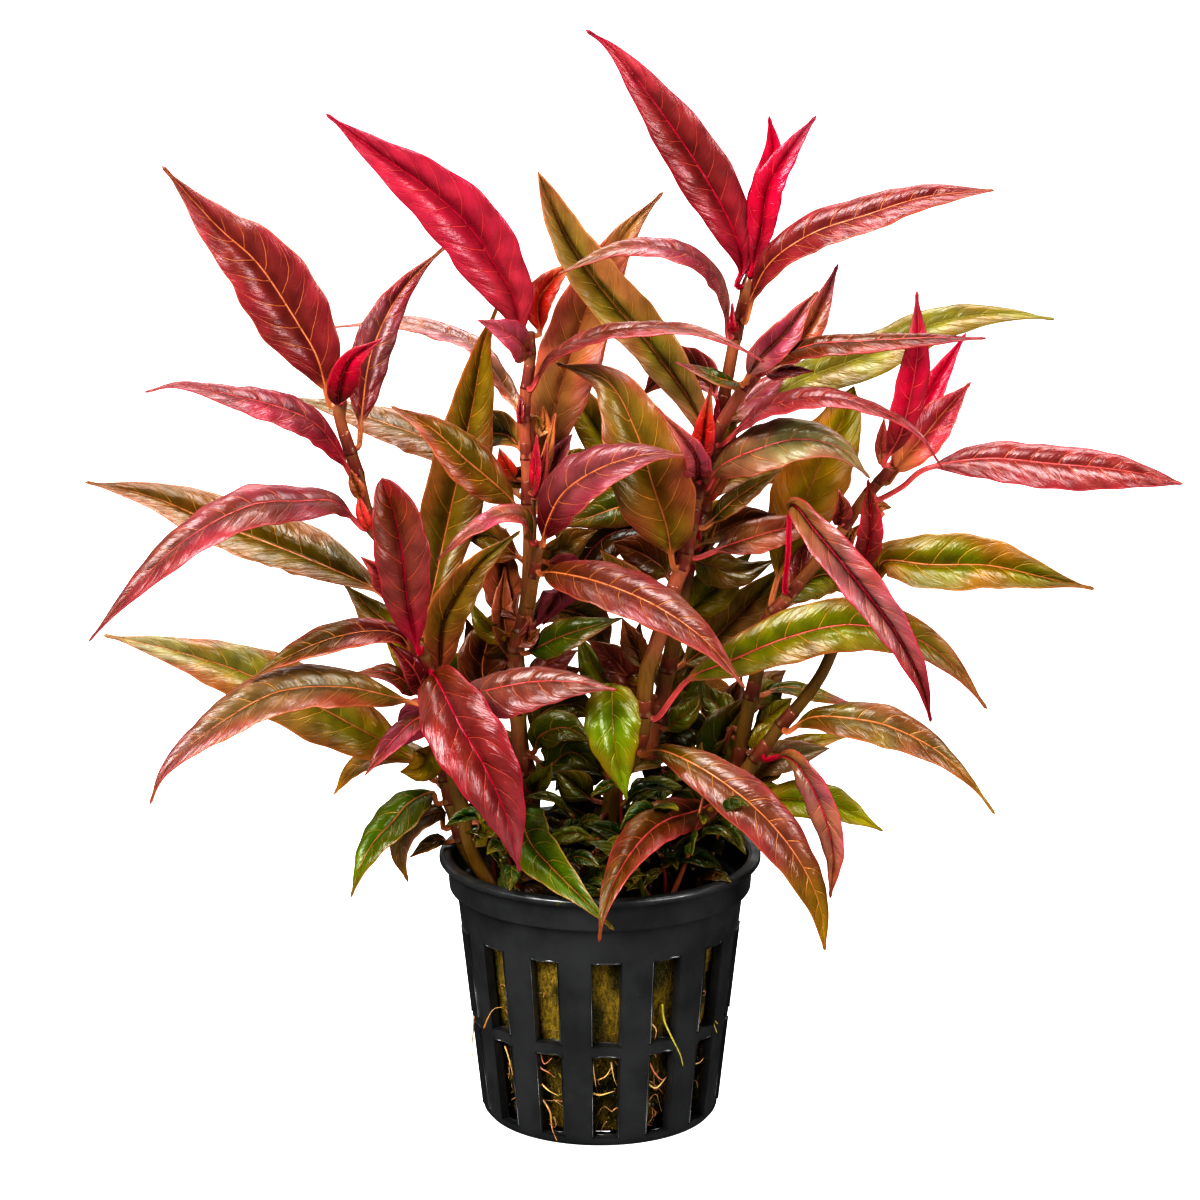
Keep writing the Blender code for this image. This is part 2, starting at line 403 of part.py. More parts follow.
def plug(material):
    """The wool plug, lumpy on top, with a socket for each stem that rises from it."""
    verts = []
    rings = PLUG_WALL + PLUG_TOP
    for i, (radius, height) in enumerate(rings):
        for k in range(PLUG_SIDES):
            angle = 2 * pi * k / PLUG_SIDES
            lump = PLUG_LUMP * sin(5 * angle + 2 * i) * cos(3 * angle - i) if i >= len(PLUG_WALL) else 0.0
            verts.append(on_circle(radius, height + lump, angle))
    faces = [tuple(reversed(range(PLUG_SIDES)))]
    for i in range(len(rings) - 1):
        for k in range(PLUG_SIDES):
            after = (k + 1) % PLUG_SIDES
            low, high = i * PLUG_SIDES, (i + 1) * PLUG_SIDES
            faces.append((low + k, low + after, high + after, high + k))
    crown = len(verts)
    verts.append(Vector((0.0, 0.0, PLUG_CROWN)))
    high = (len(rings) - 1) * PLUG_SIDES
    faces += [(high + k, high + (k + 1) % PLUG_SIDES, crown) for k in range(PLUG_SIDES)]
    made = make_object("plug", verts, faces, material)
    for name, stem in STEMS.items():
        if isinstance(stem.root[0], str):
            continue
        x, y = stem.root
        foot = Vector((x, y, PLUG_CROWN - SOCKET_DEPTH - 2 * GAP))
        radius = stem.thick[0] / 2 + 4 * GAP
        socket = make_object(name + "_socket", *tube([foot, foot + Vector((0, 0, 12))], [radius, radius]), material)
        boolean(made, socket, "DIFFERENCE")
    return made


def tube(points, radii):
    """The rings and faces of a closed tube along a line."""
    verts = []
    for point, way, radius in zip(points, tangents(points), radii):
        side = way.cross(Vector((0.0, 1.0, 0.0))).normalized()
        over = side.cross(way)
        for k in range(STEM_SIDES):
            angle = 2 * pi * k / STEM_SIDES
            verts.append(point + (side * cos(angle) + over * sin(angle)) * radius)
    faces = [tuple(range(STEM_SIDES)), tuple(range(len(verts) - STEM_SIDES, len(verts)))]
    for i in range(len(points) - 1):
        for k in range(STEM_SIDES):
            low, high = i * STEM_SIDES, (i + 1) * STEM_SIDES
            after = (k + 1) % STEM_SIDES
            faces.append((low + k, low + after, high + after, high + k))
    return verts, faces


def stem_line(name):
    """The middle line of a stem, from its root to its tip."""
    stem = STEMS[name]
    route = [sighted(*place) for place in stem.route]
    if isinstance(stem.root[0], str):
        return smooth([foot_on(*stem.root, route[0], stem.thick[0] / 2), *route])
    x, y = stem.root
    planted = [Vector((x, y, PLUG_CROWN - SOCKET_DEPTH * share)) for share in (1.0, 0.5, 0.0)]
    return smooth([*planted, *route])


def nearest_on(name, pixel):
    """Where the viewer sees a stem's middle line nearest to a pixel: point, distance and direction."""
    line = stem_line(name)
    off = []
    for point in line:
        px, py = pixel_of(point)
        off.append((px - pixel[0]) ** 2 + (py - pixel[1]) ** 2)
    best = off.index(min(off))
    return line[best], lengths_along(line)[best], tangents(line)[best]


def stem_radius(name, length, total):
    base, tip = STEMS[name].thick
    return (base + (tip - base) * length / total) / 2


def foot_on(name, pixel, towards, half):
    """Where a leaf or a side shoot of half its thickness starts, off the stem's skin by GAP."""
    middle, length, way = nearest_on(name, pixel)
    total = lengths_along(stem_line(name))[-1]
    reach = stem_radius(name, length, total) * JOINT_SWELL + GAP + half
    side = towards - middle
    return middle + (side - way * side.dot(way)).normalized() * reach


def stem(name, material):
    """A tapering stem, thicker at its joints."""
    line = stem_line(name)
    lengths = lengths_along(line)
    total = lengths[-1]
    steps = max(3, round(total / STEM_STEP))
    stations = [total * i / steps for i in range(steps + 1)]
    joints = set()
    for leaf in [*LEAVES.values(), *SMALL_LEAVES.values()]:
        if leaf.stem == name:
            joint = nearest_on(name, leaf.foot)[1]
            nearest = min(range(1, steps), key=lambda i: abs(total * i / steps - joint))
            stations[nearest] = joint
            joints.add(nearest)
    radii = [stem_radius(name, length, total) * (JOINT_SWELL if i in joints else 1.0)
             for i, length in enumerate(stations)]
    points = [at_length(line, lengths, length) for length in stations]
    return make_object(name, *tube(points, radii), material)


def half_width(along, width):
    """Half the width of a blade, along from its base at 0 to its tip at 1."""
    if along <= 0:
        return STALK_HALF
    taper = ROUNDNESS * (1 - WIDEST) / WIDEST
    rise = (min(along, 1) / WIDEST) ** ROUNDNESS * ((1 - min(along, 1)) / (1 - WIDEST)) ** taper
    return max(width / 2 * rise, STALK_HALF * (1 - along), TIP_HALF)


def blade(leaf, stations, apart):
    """The rings and faces of a leaf: a thin wedge on each side of the midrib."""
    route = [sighted(*place) for place in leaf.route]
    start = nearest_on(leaf.stem, leaf.foot)[0]
    if apart:
        start = foot_on(leaf.stem, leaf.foot, route[0], STALK_HALF)
    line = smooth([start, *route])
    lengths = lengths_along(line)
    points = [at_length(line, lengths, share * lengths[-1]) for share in stations]
    left, right = radians(leaf.left), radians(leaf.right)
    verts = []
    for point, way, share in zip(points, tangents(points), stations):
        view = (EYE_MM - point).normalized()
        over = (view - way * view.dot(way)).normalized()
        out = way.cross(over)
        half = half_width((share * lengths[-1] - leaf.stalk) / (lengths[-1] - leaf.stalk), leaf.width)
        thick = BLADE_HALF if share < 1 else TIP_HALF
        normal = (over * (cos(left) + cos(right)) + out * (sin(left) - sin(right))).normalized()
        verts += [point + (out * cos(right) + over * sin(right)) * half, point + normal * thick,
                  point + (over * sin(left) - out * cos(left)) * half, point - normal * thick]
    faces = [(0, 1, 2, 3), tuple(range(len(verts) - 4, len(verts)))]
    for i in range(len(points) - 1):
        for k in range(4):
            faces.append((4 * i + k, 4 * i + (k + 1) % 4, 4 * i + 4 + (k + 1) % 4, 4 * i + 4 + k))
    return verts, faces


def main():
    for old in list(bpy.data.objects):
        bpy.data.objects.remove(old)
    stem_skin = make_material("stem_skin", (0.30, 0.07, 0.04), 0.4)
    leaf_skins = {hue: make_material("leaf_" + hue, *look) for hue, look in HUES.items()}
    pot(make_material("pot_plastic", (0.012, 0.012, 0.013), 0.4))
    plug(make_material("wool", (0.16, 0.13, 0.03), 0.95))
    for name in STEMS:
        grown = stem(name, stem_skin)
        for small_name, leaf in SMALL_LEAVES.items():
            if leaf.stem == name:
                boolean(grown, make_object(small_name, *blade(leaf, SMALL_STATIONS, False), stem_skin), "UNION")
    for name, leaf in LEAVES.items():
        make_object(name, *blade(leaf, LEAF_STATIONS, True), leaf_skins[leaf.hue])


main()
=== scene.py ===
"""A potted star red persicaria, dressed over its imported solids.

The origin is the centre of the pot's bottom, +Z is up and -Y is the side that faces the viewer.
Places on the plant are sighted: a pixel of the 1200 x 1200 photograph and a depth in millimetres
behind the pot's axis give a point. Shapes are worked out in millimetres and made in metres.
"""
from collections import namedtuple
from math import cos, pi, radians, sin, tan

import bpy
import numpy as np
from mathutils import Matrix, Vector


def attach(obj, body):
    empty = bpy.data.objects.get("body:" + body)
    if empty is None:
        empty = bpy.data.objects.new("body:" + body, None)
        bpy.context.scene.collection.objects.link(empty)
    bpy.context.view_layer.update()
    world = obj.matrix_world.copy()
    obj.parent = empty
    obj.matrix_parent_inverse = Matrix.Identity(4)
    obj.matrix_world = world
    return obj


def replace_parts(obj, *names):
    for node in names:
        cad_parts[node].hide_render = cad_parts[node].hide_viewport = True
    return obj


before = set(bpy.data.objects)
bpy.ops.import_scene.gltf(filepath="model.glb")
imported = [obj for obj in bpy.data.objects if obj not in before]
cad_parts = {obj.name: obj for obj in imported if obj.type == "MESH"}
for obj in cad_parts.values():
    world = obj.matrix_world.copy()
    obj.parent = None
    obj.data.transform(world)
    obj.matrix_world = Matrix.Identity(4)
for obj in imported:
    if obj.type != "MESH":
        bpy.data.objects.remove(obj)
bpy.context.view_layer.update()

MM = 0.001

# Lengths below are in millimetres, but for those of the lamps and the floor

# The viewpoint of the photograph
MIDDLE_PX = 600.0
FOCAL_PX = 4333.0
EYE_MM = np.array([0.0, -707.0, 273.6])
PITCH = radians(14.5)
SENSOR_MM = 36.0
PHOTO_PX = 1200.0

# The pot: the rows of its outer and inner wall, each a radius and a height
POT_ROWS = [
    ((8.0, 0.0), (8.0, 1.3)), ((16.0, 0.0), (16.0, 1.3)), ((18.6, 0.0), (17.9, 1.3)),
    ((19.5, 0.35), (18.5, 1.4)), ((20.15, 1.1), (18.9, 1.7)), ((20.35, 2.2), (19.2, 2.2)),
    ((21.95, 16.9), (20.8, 16.9)), ((22.2, 19.1), (21.05, 19.1)), ((23.85, 34.2), (22.7, 34.2)),
    ((24.5, 40.0), (23.35, 39.8)), ((24.75, 40.4), (23.9, 40.5)), ((25.8, 40.62), (24.6, 41.0)),
    ((26.1, 44.9), (24.9, 44.6)), ((26.5, 45.15), (25.0, 45.2)), ((27.3, 45.3), (25.1, 45.6)),
    ((27.5, 45.6), (25.2, 46.0)), ((27.5, 46.15), (25.4, 46.35)), ((27.25, 46.45), (25.7, 46.5)),
    ((26.8, 46.5), (26.2, 46.5)),
]
POT_BANDS = (0, 5, 7)  # the rows above which the wall is slotted
RIB_ROWS = (6, 7)  # those of the rib between the upper and the lower slots
RIB_SUNK = 0.55  # how far that rib lies behind the bars
SLOTS = 14
SLOT_ANGLE = radians(11.5)
FIRST_SLOT = radians(2.6)  # the middle of the first slot, to the right of the front
SLOT_CUTS = 3  # columns across a slot
BAR_CUTS = 4  # columns across a bar between slots
EDGE_SOFTNESS = 0.22  # the width of its bevelled edges

# The plug: its outline, and the radii at four heights of the wall, the roots and the fibres behind it
PLUG_PROFILE = [(3.0, 1.75), (12.0, 1.75), (16.5, 1.8), (18.0, 2.6), (19.1, 8.0), (20.0, 16.0), (21.0, 24.0),
                (22.0, 32.0), (22.5, 37.5), (21.6, 39.8), (17.0, 40.3), (10.0, 40.4), (3.0, 40.4)]
PLUG_AROUND = 260
PLUG_STEP = 0.55
PLUG_CROWN = 40.1
WALL_HEIGHTS = [2, 16, 34, 40]
WALL_RADII = [18.6, 20.0, 22.0, 22.6]
WEB_RADII = [18.2, 19.6, 21.6, 22.2]
FIBRE_RADII = [17.9, 19.4, 21.4, 22.0]
FIBRE_LIMITS = [18.9, 20.4, 22.4, 23.0]
MOSS_LIMITS = [23.0] * 4
WEB_ROOTS = 150
WOOL_FIBRES = 2600
MOSS_FIBRES = 2600
THREAD_TAPER = 0.35  # how thick a thread's end is, of its start
SHOOTS = 46
SHOOT_REACH = 21.5  # how far from the axis a young shoot's top may lie

# The stems
FIRST_SIDE = [0.31, 0.95, 0.05]  # crossed with the way of a tube's start, it places the first ring
GAP = 0.3  # between a stem's solid and what grows from it
SOCKET_DEPTH = 5.0  # how deep a stem stands in the plug
SHOOT_SUNK = 1.5  # how deep a side shoot's skin stands in its stem
JOINT_SWELL = 1.22  # how much thicker a stem is where a leaf grows
JOINT_SPACING = 2.5  # leaves that grow closer than this share a joint
USUAL_SLIMNESS = 0.94  # of a stem's skin, its solid being one
SLIMNESS = {"stem_c": 0.88, "stem_e": 0.86, "stem_f": 0.86}
STEM_AROUND = 18
STEM_STEP = 0.55
TIP_LENGTH = 1.5  # over which a stem rounds off
SHEATH_LENGTH = 3.4
SHEATH_START = -0.5  # below its joint
SHEATH_ROWS = 12
LOWEST_SHEATH = 5.5  # along its stem
FAR = 99.0  # more than two joints are ever apart

# The leaves
STALK_HALF = 0.5  # half a stalk's width
STALK_ROUND = 0.46  # half its depth
ROUNDNESS = 0.9  # the less, the faster a blade widens from its base
TIP_HALF = 0.34  # half a leaf's least width, rounded off at its tip
ROW_STEP = 0.55  # between a blade's rows
ACROSS = 11  # points across each half of a blade
SMALL_STEP = 0.7
SMALL_ACROSS = 8
FEWEST_ROWS = 14
FACE_HALF = 0.13  # half a blade's thickness
CHANNEL = 0.42  # half the width of the channel that the midrib lies in
VEIN_ANGLE = radians(52)
VEIN_SPACING = 4.6
FEWEST_VEINS, MOST_VEINS = 4, 11  # on each side of a blade
SPOT_SIZE = 7  # of the patches of tone over a blade
FINE_SIZE = 2.2  # of its finer shading
FLUSH = np.array([0.12, -0.18, 0.1])  # how red, green and blue change toward a blade's edge
FLUSH_OF_HUE = {"magenta": 0.2, "crimson": 0.4}
USUAL_FLUSH = 0.6

# name, place, aim, size in metres and power
LIGHTS = [
    ("key", (-0.7, -0.9, 1.0), (0.0, 0.0, 0.08), (1.0, 0.8), 43.0),
    ("fill", (0.9, -0.7, 0.6), (0.0, 0.0, 0.08), (0.5, 0.7), 13.0),
    ("top", (0.1, 0.35, 1.15), (0.0, 0.0, 0.05), (1.1, 0.6), 22.0),
    ("backdrop", (0.0, 1.9, 1.0), (0.0, 0.0, 0.1), (3.4, 1.6), 8.0),
]
WORLD_LIGHT = 0.05
FLOOR_HALF = 9.0
FLOOR_GLOW = 0.8  # the light that the floor gives off
FLOOR_TONE = (0.3, 0.3, 0.3, 1)
CONTRAST = "Very High Contrast"

Stem = namedtuple("Stem", "root thick route")
Leaf = namedtuple("Leaf", "stem foot width left right stalk hue widest route")
Inner = namedtuple("Inner", "stem foot width stalk base tip route")
Look = namedtuple("Look", "base body tip margin rib bloom wet")


def srgb(red, green, blue):
    """A colour from its 0 to 255 values, as light."""
    value = np.array([red, green, blue]) / 255
    return np.where(value <= 0.04045, value / 12.92, ((value + 0.055) / 1.055) ** 2.4)


# Tones of the leaves, stems, roots and wool
TONES = {name: srgb(*value) for name, value in {
    "hot": (161, 15, 56), "magenta": (135, 36, 55), "ruby": (146, 52, 62), "crimson": (105, 41, 40),
    "dusty": (131, 62, 74), "rose": (149, 99, 96), "mauve": (126, 80, 79), "dusky": (114, 59, 63),
    "brick": (102, 54, 46), "salmon": (183, 116, 80), "wine": (84, 18, 25),
    "rust": (128, 75, 48), "copper": (121, 87, 51), "bronze": (85, 43, 17), "taupe": (101, 75, 48),
    "umber": (68, 43, 10), "olive": (109, 82, 29), "khaki": (89, 67, 10), "gold": (113, 85, 8),
    "ochre": (168, 128, 32), "moss": (65, 67, 3), "leaf": (96, 90, 2), "lime": (133, 114, 3),
    "sage": (118, 102, 41), "straw": (123, 103, 73), "sand": (171, 130, 85), "pine": (39, 55, 8),
    "fern": (72, 86, 6), "grass": (98, 104, 8), "orange": (180, 113, 72), "coral": (173, 77, 75),
    "scarlet": (174, 46, 32), "flesh": (145, 85, 56), "tan": (123, 99, 56), "brown": (80, 34, 17),
    "pale root": (178, 152, 100), "tan root": (150, 114, 70), "pink root": (166, 114, 88),
    "green root": (140, 130, 52), "fleck": (184, 158, 80),
}.items()}

# root is a place on the plug, or the stem and the pixel that a side shoot grows from.
# thick is the diameter at the root and at the tip. A route's points are pixel, pixel and depth.
STEMS = {
    "stem_a": Stem((-19.0, 3.0), (3.4, 2.0), [
        (467, 848, 3), (452, 800, 3), (443, 755, 4), (430, 700, 5), (415, 650, 5), (400, 605, 4),
        (385, 548, 3), (370, 523, 3), (357, 472, 2), (340, 418, 1), (345, 397, 0)]),
    "stem_b": Stem((-18.0, -3.0), (3.2, 2.0), [
        (474, 855, -3), (463, 812, -4), (450, 760, -6), (436, 705, -9), (431, 677, -10), (423, 652, -12),
        (420, 641, -13)]),
    "stem_c": Stem((-11.0, 6.0), (3.8, 2.0), [
        (532, 815, 7), (527, 772, 7), (520, 740, 7), (516, 655, 5), (523, 625, 5), (528, 592, 4),
        (530, 535, 3), (528, 496, 3), (527, 456, 3), (524, 413, 3), (530, 360, 3), (529, 332, 3)]),
    "stem_d": Stem(("stem_c", (529, 594)), (2.2, 1.6), [(535, 572, -2), (538, 553, -4), (540, 536, -5)]),
    "stem_e": Stem((10.5, 11.5), (3.8, 2.2), [
        (657, 800, 12), (650, 751, 12), (658, 718, 12), (672, 650, 12), (690, 560, 12), (704, 508, 12),
        (713, 455, 12), (722, 408, 11), (732, 354, 10), (736, 335, 10), (745, 297, 9), (751, 272, 9)]),
    "stem_f": Stem((0.5, 2.0), (4.2, 2.2), [
        (612, 805, 1), (619, 780, 0), (638, 742, -1), (644, 709, -1), (647, 673, -1), (655, 650, -1),
        (674, 589, 0), (685, 556, 0), (697, 494, 0), (709, 459, 0), (722, 424, 0), (740, 394, 0),
        (752, 379, 0), (762, 367, 0)]),
    "stem_g": Stem((15.5, 0.5), (3.2, 1.8), [
        (718, 822, 1), (740, 782, 1), (759, 755, 0), (780, 727, -1), (802, 702, -2), (820, 677, -3),
        (832, 652, -3), (852, 603, -3), (870, 570, -3)]),
    "stem_h": Stem((15.5, 8.0), (3.2, 1.8), [
        (715, 808, 8), (735, 775, 7), (746, 720, 6), (757, 672, 5), (767, 622, 4), (785, 600, 3),
        (815, 565, 2), (844, 528, 0), (862, 501, -1), (879, 482, -2), (892, 466, -3)]),
}

# stem and foot say where a leaf grows, width and stalk are in millimetres. left and right are the
# angles by which the two halves of the blade, looking from foot to tip, are turned from facing the
# viewer: above nought the edge comes nearer, below nought it goes away. widest is how far along the
# blade it is widest.
LEAVES = {
    "leaf_a1": Leaf("stem_a", (340, 408), 12.8, 8, 6, 4, "bronze", 0.37, [(318, 360, 0), (300, 327, 0),
        (259, 265, -1), (216, 225, 0), (162, 166, 2)]),
    "leaf_a2": Leaf("stem_a", (352, 448), 6.9, 8, -10, 5, "bronze", 0.34, [(361, 420, 4), (368, 365, 7),
        (380, 329, 9), (396, 299, 11), (418, 272, 13), (448, 244, 17)]),
    "leaf_a4": Leaf("stem_a", (354, 472), 8, 50, -58, 4, "crimson", 0.40, [(337, 451, -3),
        (314, 424, -7), (279, 408, -11), (232, 396, -15), (180, 385, -18), (145, 392, -20)]),
    "leaf_a6": Leaf("stem_a", (372, 523), 11.5, 52, -55, 5, "bronze", 0.40, [(335, 503, -3),
        (300, 502, -7), (248, 507, -12), (183, 543, -16), (129, 594, -18), (89, 641, -19)]),
    "leaf_a8": Leaf("stem_a", (400, 607), 13, 54, -20, 5, "olive", 0.40, [(385, 597, 5), (358, 581, 8),
        (279, 548, 14), (212, 523, 17), (153, 498, 19), (85, 482, 20)]),
    "leaf_b1": Leaf("stem_b", (421, 644), 9.6, 22, 22, 3, "crimson", 0.60, [(412, 625, -17),
        (407, 600, -19), (404, 570, -20), (400, 543, -20), (393, 510, -20), (382, 478, -20)]),
    "leaf_b2": Leaf("stem_b", (430, 668), 12.6, 18, 14, 3, "magenta", 0.40, [(437, 680, -18),
        (450, 706, -22), (463, 731, -25), (485, 768, -28), (507, 818, -29), (520, 873, -29)]),
    "leaf_b3": Leaf("stem_b", (424, 655), 8.6, 60, -51, 4, "bronze", 0.40, [(400, 637, -14),
        (372, 632, -16), (327, 641, -18), (279, 662, -21), (249, 680, -22)]),
    "leaf_b4": Leaf("stem_b", (434, 700), 11.4, 54, -46, 5, "olive", 0.40, [(397, 699, -13),
        (341, 688, -18), (272, 695, -23), (201, 738, -27), (164, 772, -29), (150, 804, -30)]),
    "leaf_b5": Leaf("stem_a", (446, 776), 12.5, 24, -26, 6, "olive", 0.40, [(413, 759, 5), (357, 728, 2),
        (300, 698, 0), (235, 670, -2), (166, 649, -4), (103, 635, -6)]),
    "leaf_b9": Leaf("stem_a", (448, 790), 7.8, 62, -38, 5, "green", 0.43, [(420, 763, 12),
        (391, 756, 15), (356, 768, 18), (334, 794, 19)]),
    "leaf_b10": Leaf("stem_a", (451, 802), 8.4, 46, -46, 4, "green", 0.40, [(432, 793, 3),
        (410, 803, -2), (394, 821, -5), (374, 843, -8), (361, 867, -10), (351, 897, -11)]),
    "leaf_c1": Leaf("stem_c", (529, 343), 11.8, 14, 24, 4, "magenta", 0.40, [(514, 300, 0),
        (496, 267, -1), (469, 226, -2), (428, 188, -3), (377, 152, -3), (326, 114, -2)]),
    "leaf_c4": Leaf("stem_a", (412, 640), 10.6, 16, 6, 5, "olive", 0.40, [(434, 585, 8), (444, 538, 11),
        (459, 470, 12), (474, 397, 12), (483, 346, 11), (497, 307, 9)]),
    "leaf_c5": Leaf("stem_c", (525, 420), 7.2, 66, -58, 5, "olive", 0.40, [(511, 399, 14),
        (480, 352, 19), (450, 336, 22), (400, 323, 26), (334, 327, 30)]),
    "leaf_c6": Leaf("stem_c", (528, 502), 9.6, 52, -50, 5, "olive", 0.46, [(500, 482, 15),
        (436, 444, 23), (380, 422, 28), (330, 406, 31), (291, 398, 33)]),
    "leaf_c7": Leaf("stem_c", (527, 512), 9.4, 38, -38, 4, "olive", 0.40, [(505, 494, -1),
        (463, 458, -4), (430, 428, -5), (391, 406, -5)]),
    "leaf_c8": Leaf("stem_c", (527, 388), 8, -72, 68, 5, "crimson", 0.40, [(551, 358, -4),
        (595, 336, -8), (639, 329, -11), (690, 330, -13), (732, 344, -14), (764, 362, -14)]),
    "leaf_c10": Leaf("stem_f", (703, 474), 10.8, 46, 32, 5, "olive", 0.52, [(701, 423, 3), (655, 353, 5),
        (607, 296, 5), (568, 241, 4), (538, 172, 3)]),
    "leaf_c11": Leaf("stem_c", (528, 496), 11.2, 20, 14, 5, "olive", 0.40, [(543, 455, 8),
        (560, 390, 10), (590, 300, 12), (622, 239, 12), (663, 192, 12)]),
    "leaf_c12": Leaf("stem_f", (682, 566), 13.7, 12, 18, 5, "bronze", 0.37, [(667, 528, -6),
        (653, 485, -8), (636, 432, -7), (608, 382, -5), (556, 363, -1)]),
    "leaf_c13": Leaf("stem_f", (686, 552), 9, 14, 14, 5, "olive", 0.40, [(654, 524, 11), (603, 437, 15),
        (567, 385, 18), (538, 352, 20)]),
    "leaf_d1": Leaf("stem_d", (540, 540), 10.4, -35, 35, 3, "crimson", 0.40, [(548, 522, -9),
        (565, 492, -12), (600, 469, -15), (645, 455, -17), (685, 456, -18)]),
    "leaf_d4": Leaf("stem_a", (430, 698), 8, 34, 28, 6, "green", 0.40, [(440, 662, 2), (443, 625, 0),
        (456, 597, -1), (480, 563, -2), (520, 531, -4)]),
    "leaf_g1": Leaf("stem_d", (536, 566), 9.4, -30, 30, 3, "crimson", 0.40, [(555, 573, -9),
        (600, 583, -16), (655, 606, -22), (705, 641, -26), (745, 688, -28)]),
    "leaf_g5": Leaf("stem_b", (436, 708), 10.6, -55, 10, 4, "bronze", 0.40, [(462, 697, -12),
        (490, 690, -17), (535, 682, -20), (580, 683, -23), (617, 690, -25)]),
    "leaf_e1": Leaf("stem_e", (748, 286), 9.6, 20, 8, 3, "crimson", 0.40, [(743, 262, 8), (729, 220, 7),
        (693, 158, 6), (643, 87, 4), (613, 50, 3), (586, 30, 2)]),
    "leaf_e2": Leaf("stem_e", (752, 272), 5.6, 14, 28, 3, "magenta", 0.43, [(761, 235, 6), (768, 189, 5),
        (789, 152, 5), (816, 116, 4)]),
    "leaf_e4": Leaf("stem_e", (740, 318), 8.9, -42, 52, 5, "crimson", 0.46, [(755, 291, 6),
        (774, 260, 3), (815, 233, 1), (866, 216, -1), (924, 198, -2), (994, 190, -3)]),
    "leaf_e5": Leaf("stem_e", (736, 336), 7.2, 62, -64, 4, "crimson", 0.46, [(725, 301, 5),
        (712, 275, 0), (690, 257, -4), (660, 248, -7), (615, 250, -9), (558, 274, -12)]),
    "leaf_f2": Leaf("stem_f", (750, 382), 6.3, 34, 28, 3, "crimson", 0.40, [(759, 360, -4),
        (785, 333, -6), (804, 307, -6), (818, 291, -6)]),
    "leaf_f3": Leaf("stem_f", (758, 372), 7.6, -70, 54, 4, "crimson", 0.40, [(780, 358, -5),
        (815, 345, -9), (860, 342, -12), (920, 339, -14), (986, 338, -15)]),
    "leaf_f7": Leaf("stem_f", (716, 440), 7.4, -65, 65, 5, "magenta", 0.40, [(745, 424, -6),
        (772, 406, -11), (825, 398, -16), (880, 412, -19), (918, 434, -20), (943, 469, -20)]),
    "leaf_f8": Leaf("stem_e", (719, 425), 10, -45, 36, 6, "green", 0.40, [(745, 416, 14), (803, 380, 15),
        (868, 355, 16), (938, 323, 17), (1000, 314, 17), (1055, 319, 17)]),
    "leaf_f9": Leaf("stem_f", (700, 486), 10, -40, 40, 4, "olive", 0.40, [(722, 466, -4), (760, 449, -7),
        (800, 440, -9), (840, 449, -11), (870, 478, -12)]),
    "leaf_f11": Leaf("stem_h", (777, 612), 12.6, 10, 18, 6, "olive", 0.50, [(783, 560, 9),
        (798, 517, 12), (820, 465, 14), (840, 425, 15), (854, 386, 16)]),
    "leaf_g6": Leaf("stem_f", (645, 703), 9.4, 8, 8, 17.5, "green", 0.38, [(634, 699, 2),
        (622, 692, -3), (614, 686, -9), (612, 695, -14), (615, 745, -18), (627, 801, -19)]),
    "leaf_g7": Leaf("stem_f", (638, 745), 8.8, -36, 16, 5, "crimson", 0.46, [(663, 751, -9),
        (710, 774, -15), (760, 813, -19), (797, 858, -20), (819, 905, -19), (825, 951, -18)]),
    "leaf_g8": Leaf("stem_c", (530, 800), 8.6, 18, 16, 4, "green", 0.40, [(522, 815, -8),
        (530, 842, -16), (552, 868, -23), (585, 901, -30), (614, 930, -33)]),
    "leaf_g9": Leaf("stem_g", (733, 795), 8.6, 38, -26, 5, "bronze", 0.40, [(700, 810, -10),
        (664, 822, -17), (638, 845, -24), (616, 879, -30), (603, 915, -34), (599, 942, -35)]),
    "leaf_g13": Leaf("stem_f", (645, 712), 9.6, -14, 24, 11, "green", 0.40, [(688, 680, -5),
        (731, 661, -7), (787, 638, -9), (850, 625, -10), (914, 638, -11), (955, 668, -11), (987, 709, -10)]),
    "leaf_h1": Leaf("stem_h", (872, 492), 9.6, -42, 24, 13, "crimson", 0.46, [(902, 487, -4),
        (928, 468, -6), (987, 459, -8), (1050, 464, -10), (1123, 471, -12), (1183, 484, -12)]),
    "leaf_h2": Leaf("stem_h", (880, 481), 7.4, 18, 18, 4, "crimson", 0.40, [(906, 456, -3),
        (925, 435, -2), (943, 413, 0), (971, 382, 2)]),
    "leaf_h4": Leaf("stem_h", (892, 466), 6.8, 30, -34, 3, "magenta", 0.40, [(899, 436, -6),
        (909, 400, -8), (917, 350, -9), (917, 291, -9)]),
    "leaf_h9": Leaf("stem_h", (790, 592), 8.0, 36, 38, 21, "crimson", 0.42, [(788, 555, -4),
        (790, 516, -9), (796, 506, -13), (813, 528, -16), (850, 573, -20), (893, 629, -22), (920, 680, -22),
        (931, 722, -20)]),
    "leaf_h10": Leaf("stem_g", (868, 574), 10.9, -6, 36, 1, "olive", 0.37, [(885, 561, -3),
        (930, 565, -5), (990, 566, -6), (1049, 579, -6), (1095, 589, -6)]),
    "leaf_i1": Leaf("stem_g", (783, 723), 8.2, -40, 36, 4, "green", 0.34, [(812, 718, -6),
        (850, 719, -9), (889, 727, -10), (933, 749, -11), (969, 780, -11), (995, 814, -10)]),
    "leaf_i3": Leaf("stem_g", (762, 752), 6.6, 50, -42, 5, "crimson", 0.43, [(785, 756, -6),
        (801, 768, -10), (822, 806, -12), (834, 853, -11), (830, 898, -9)]),
    "leaf_i4": Leaf("stem_g", (738, 790), 7.8, -28, 44, 4, "green", 0.40, [(760, 799, 3), (795, 800, 4),
        (835, 806, 4), (883, 831, 3)]),
}
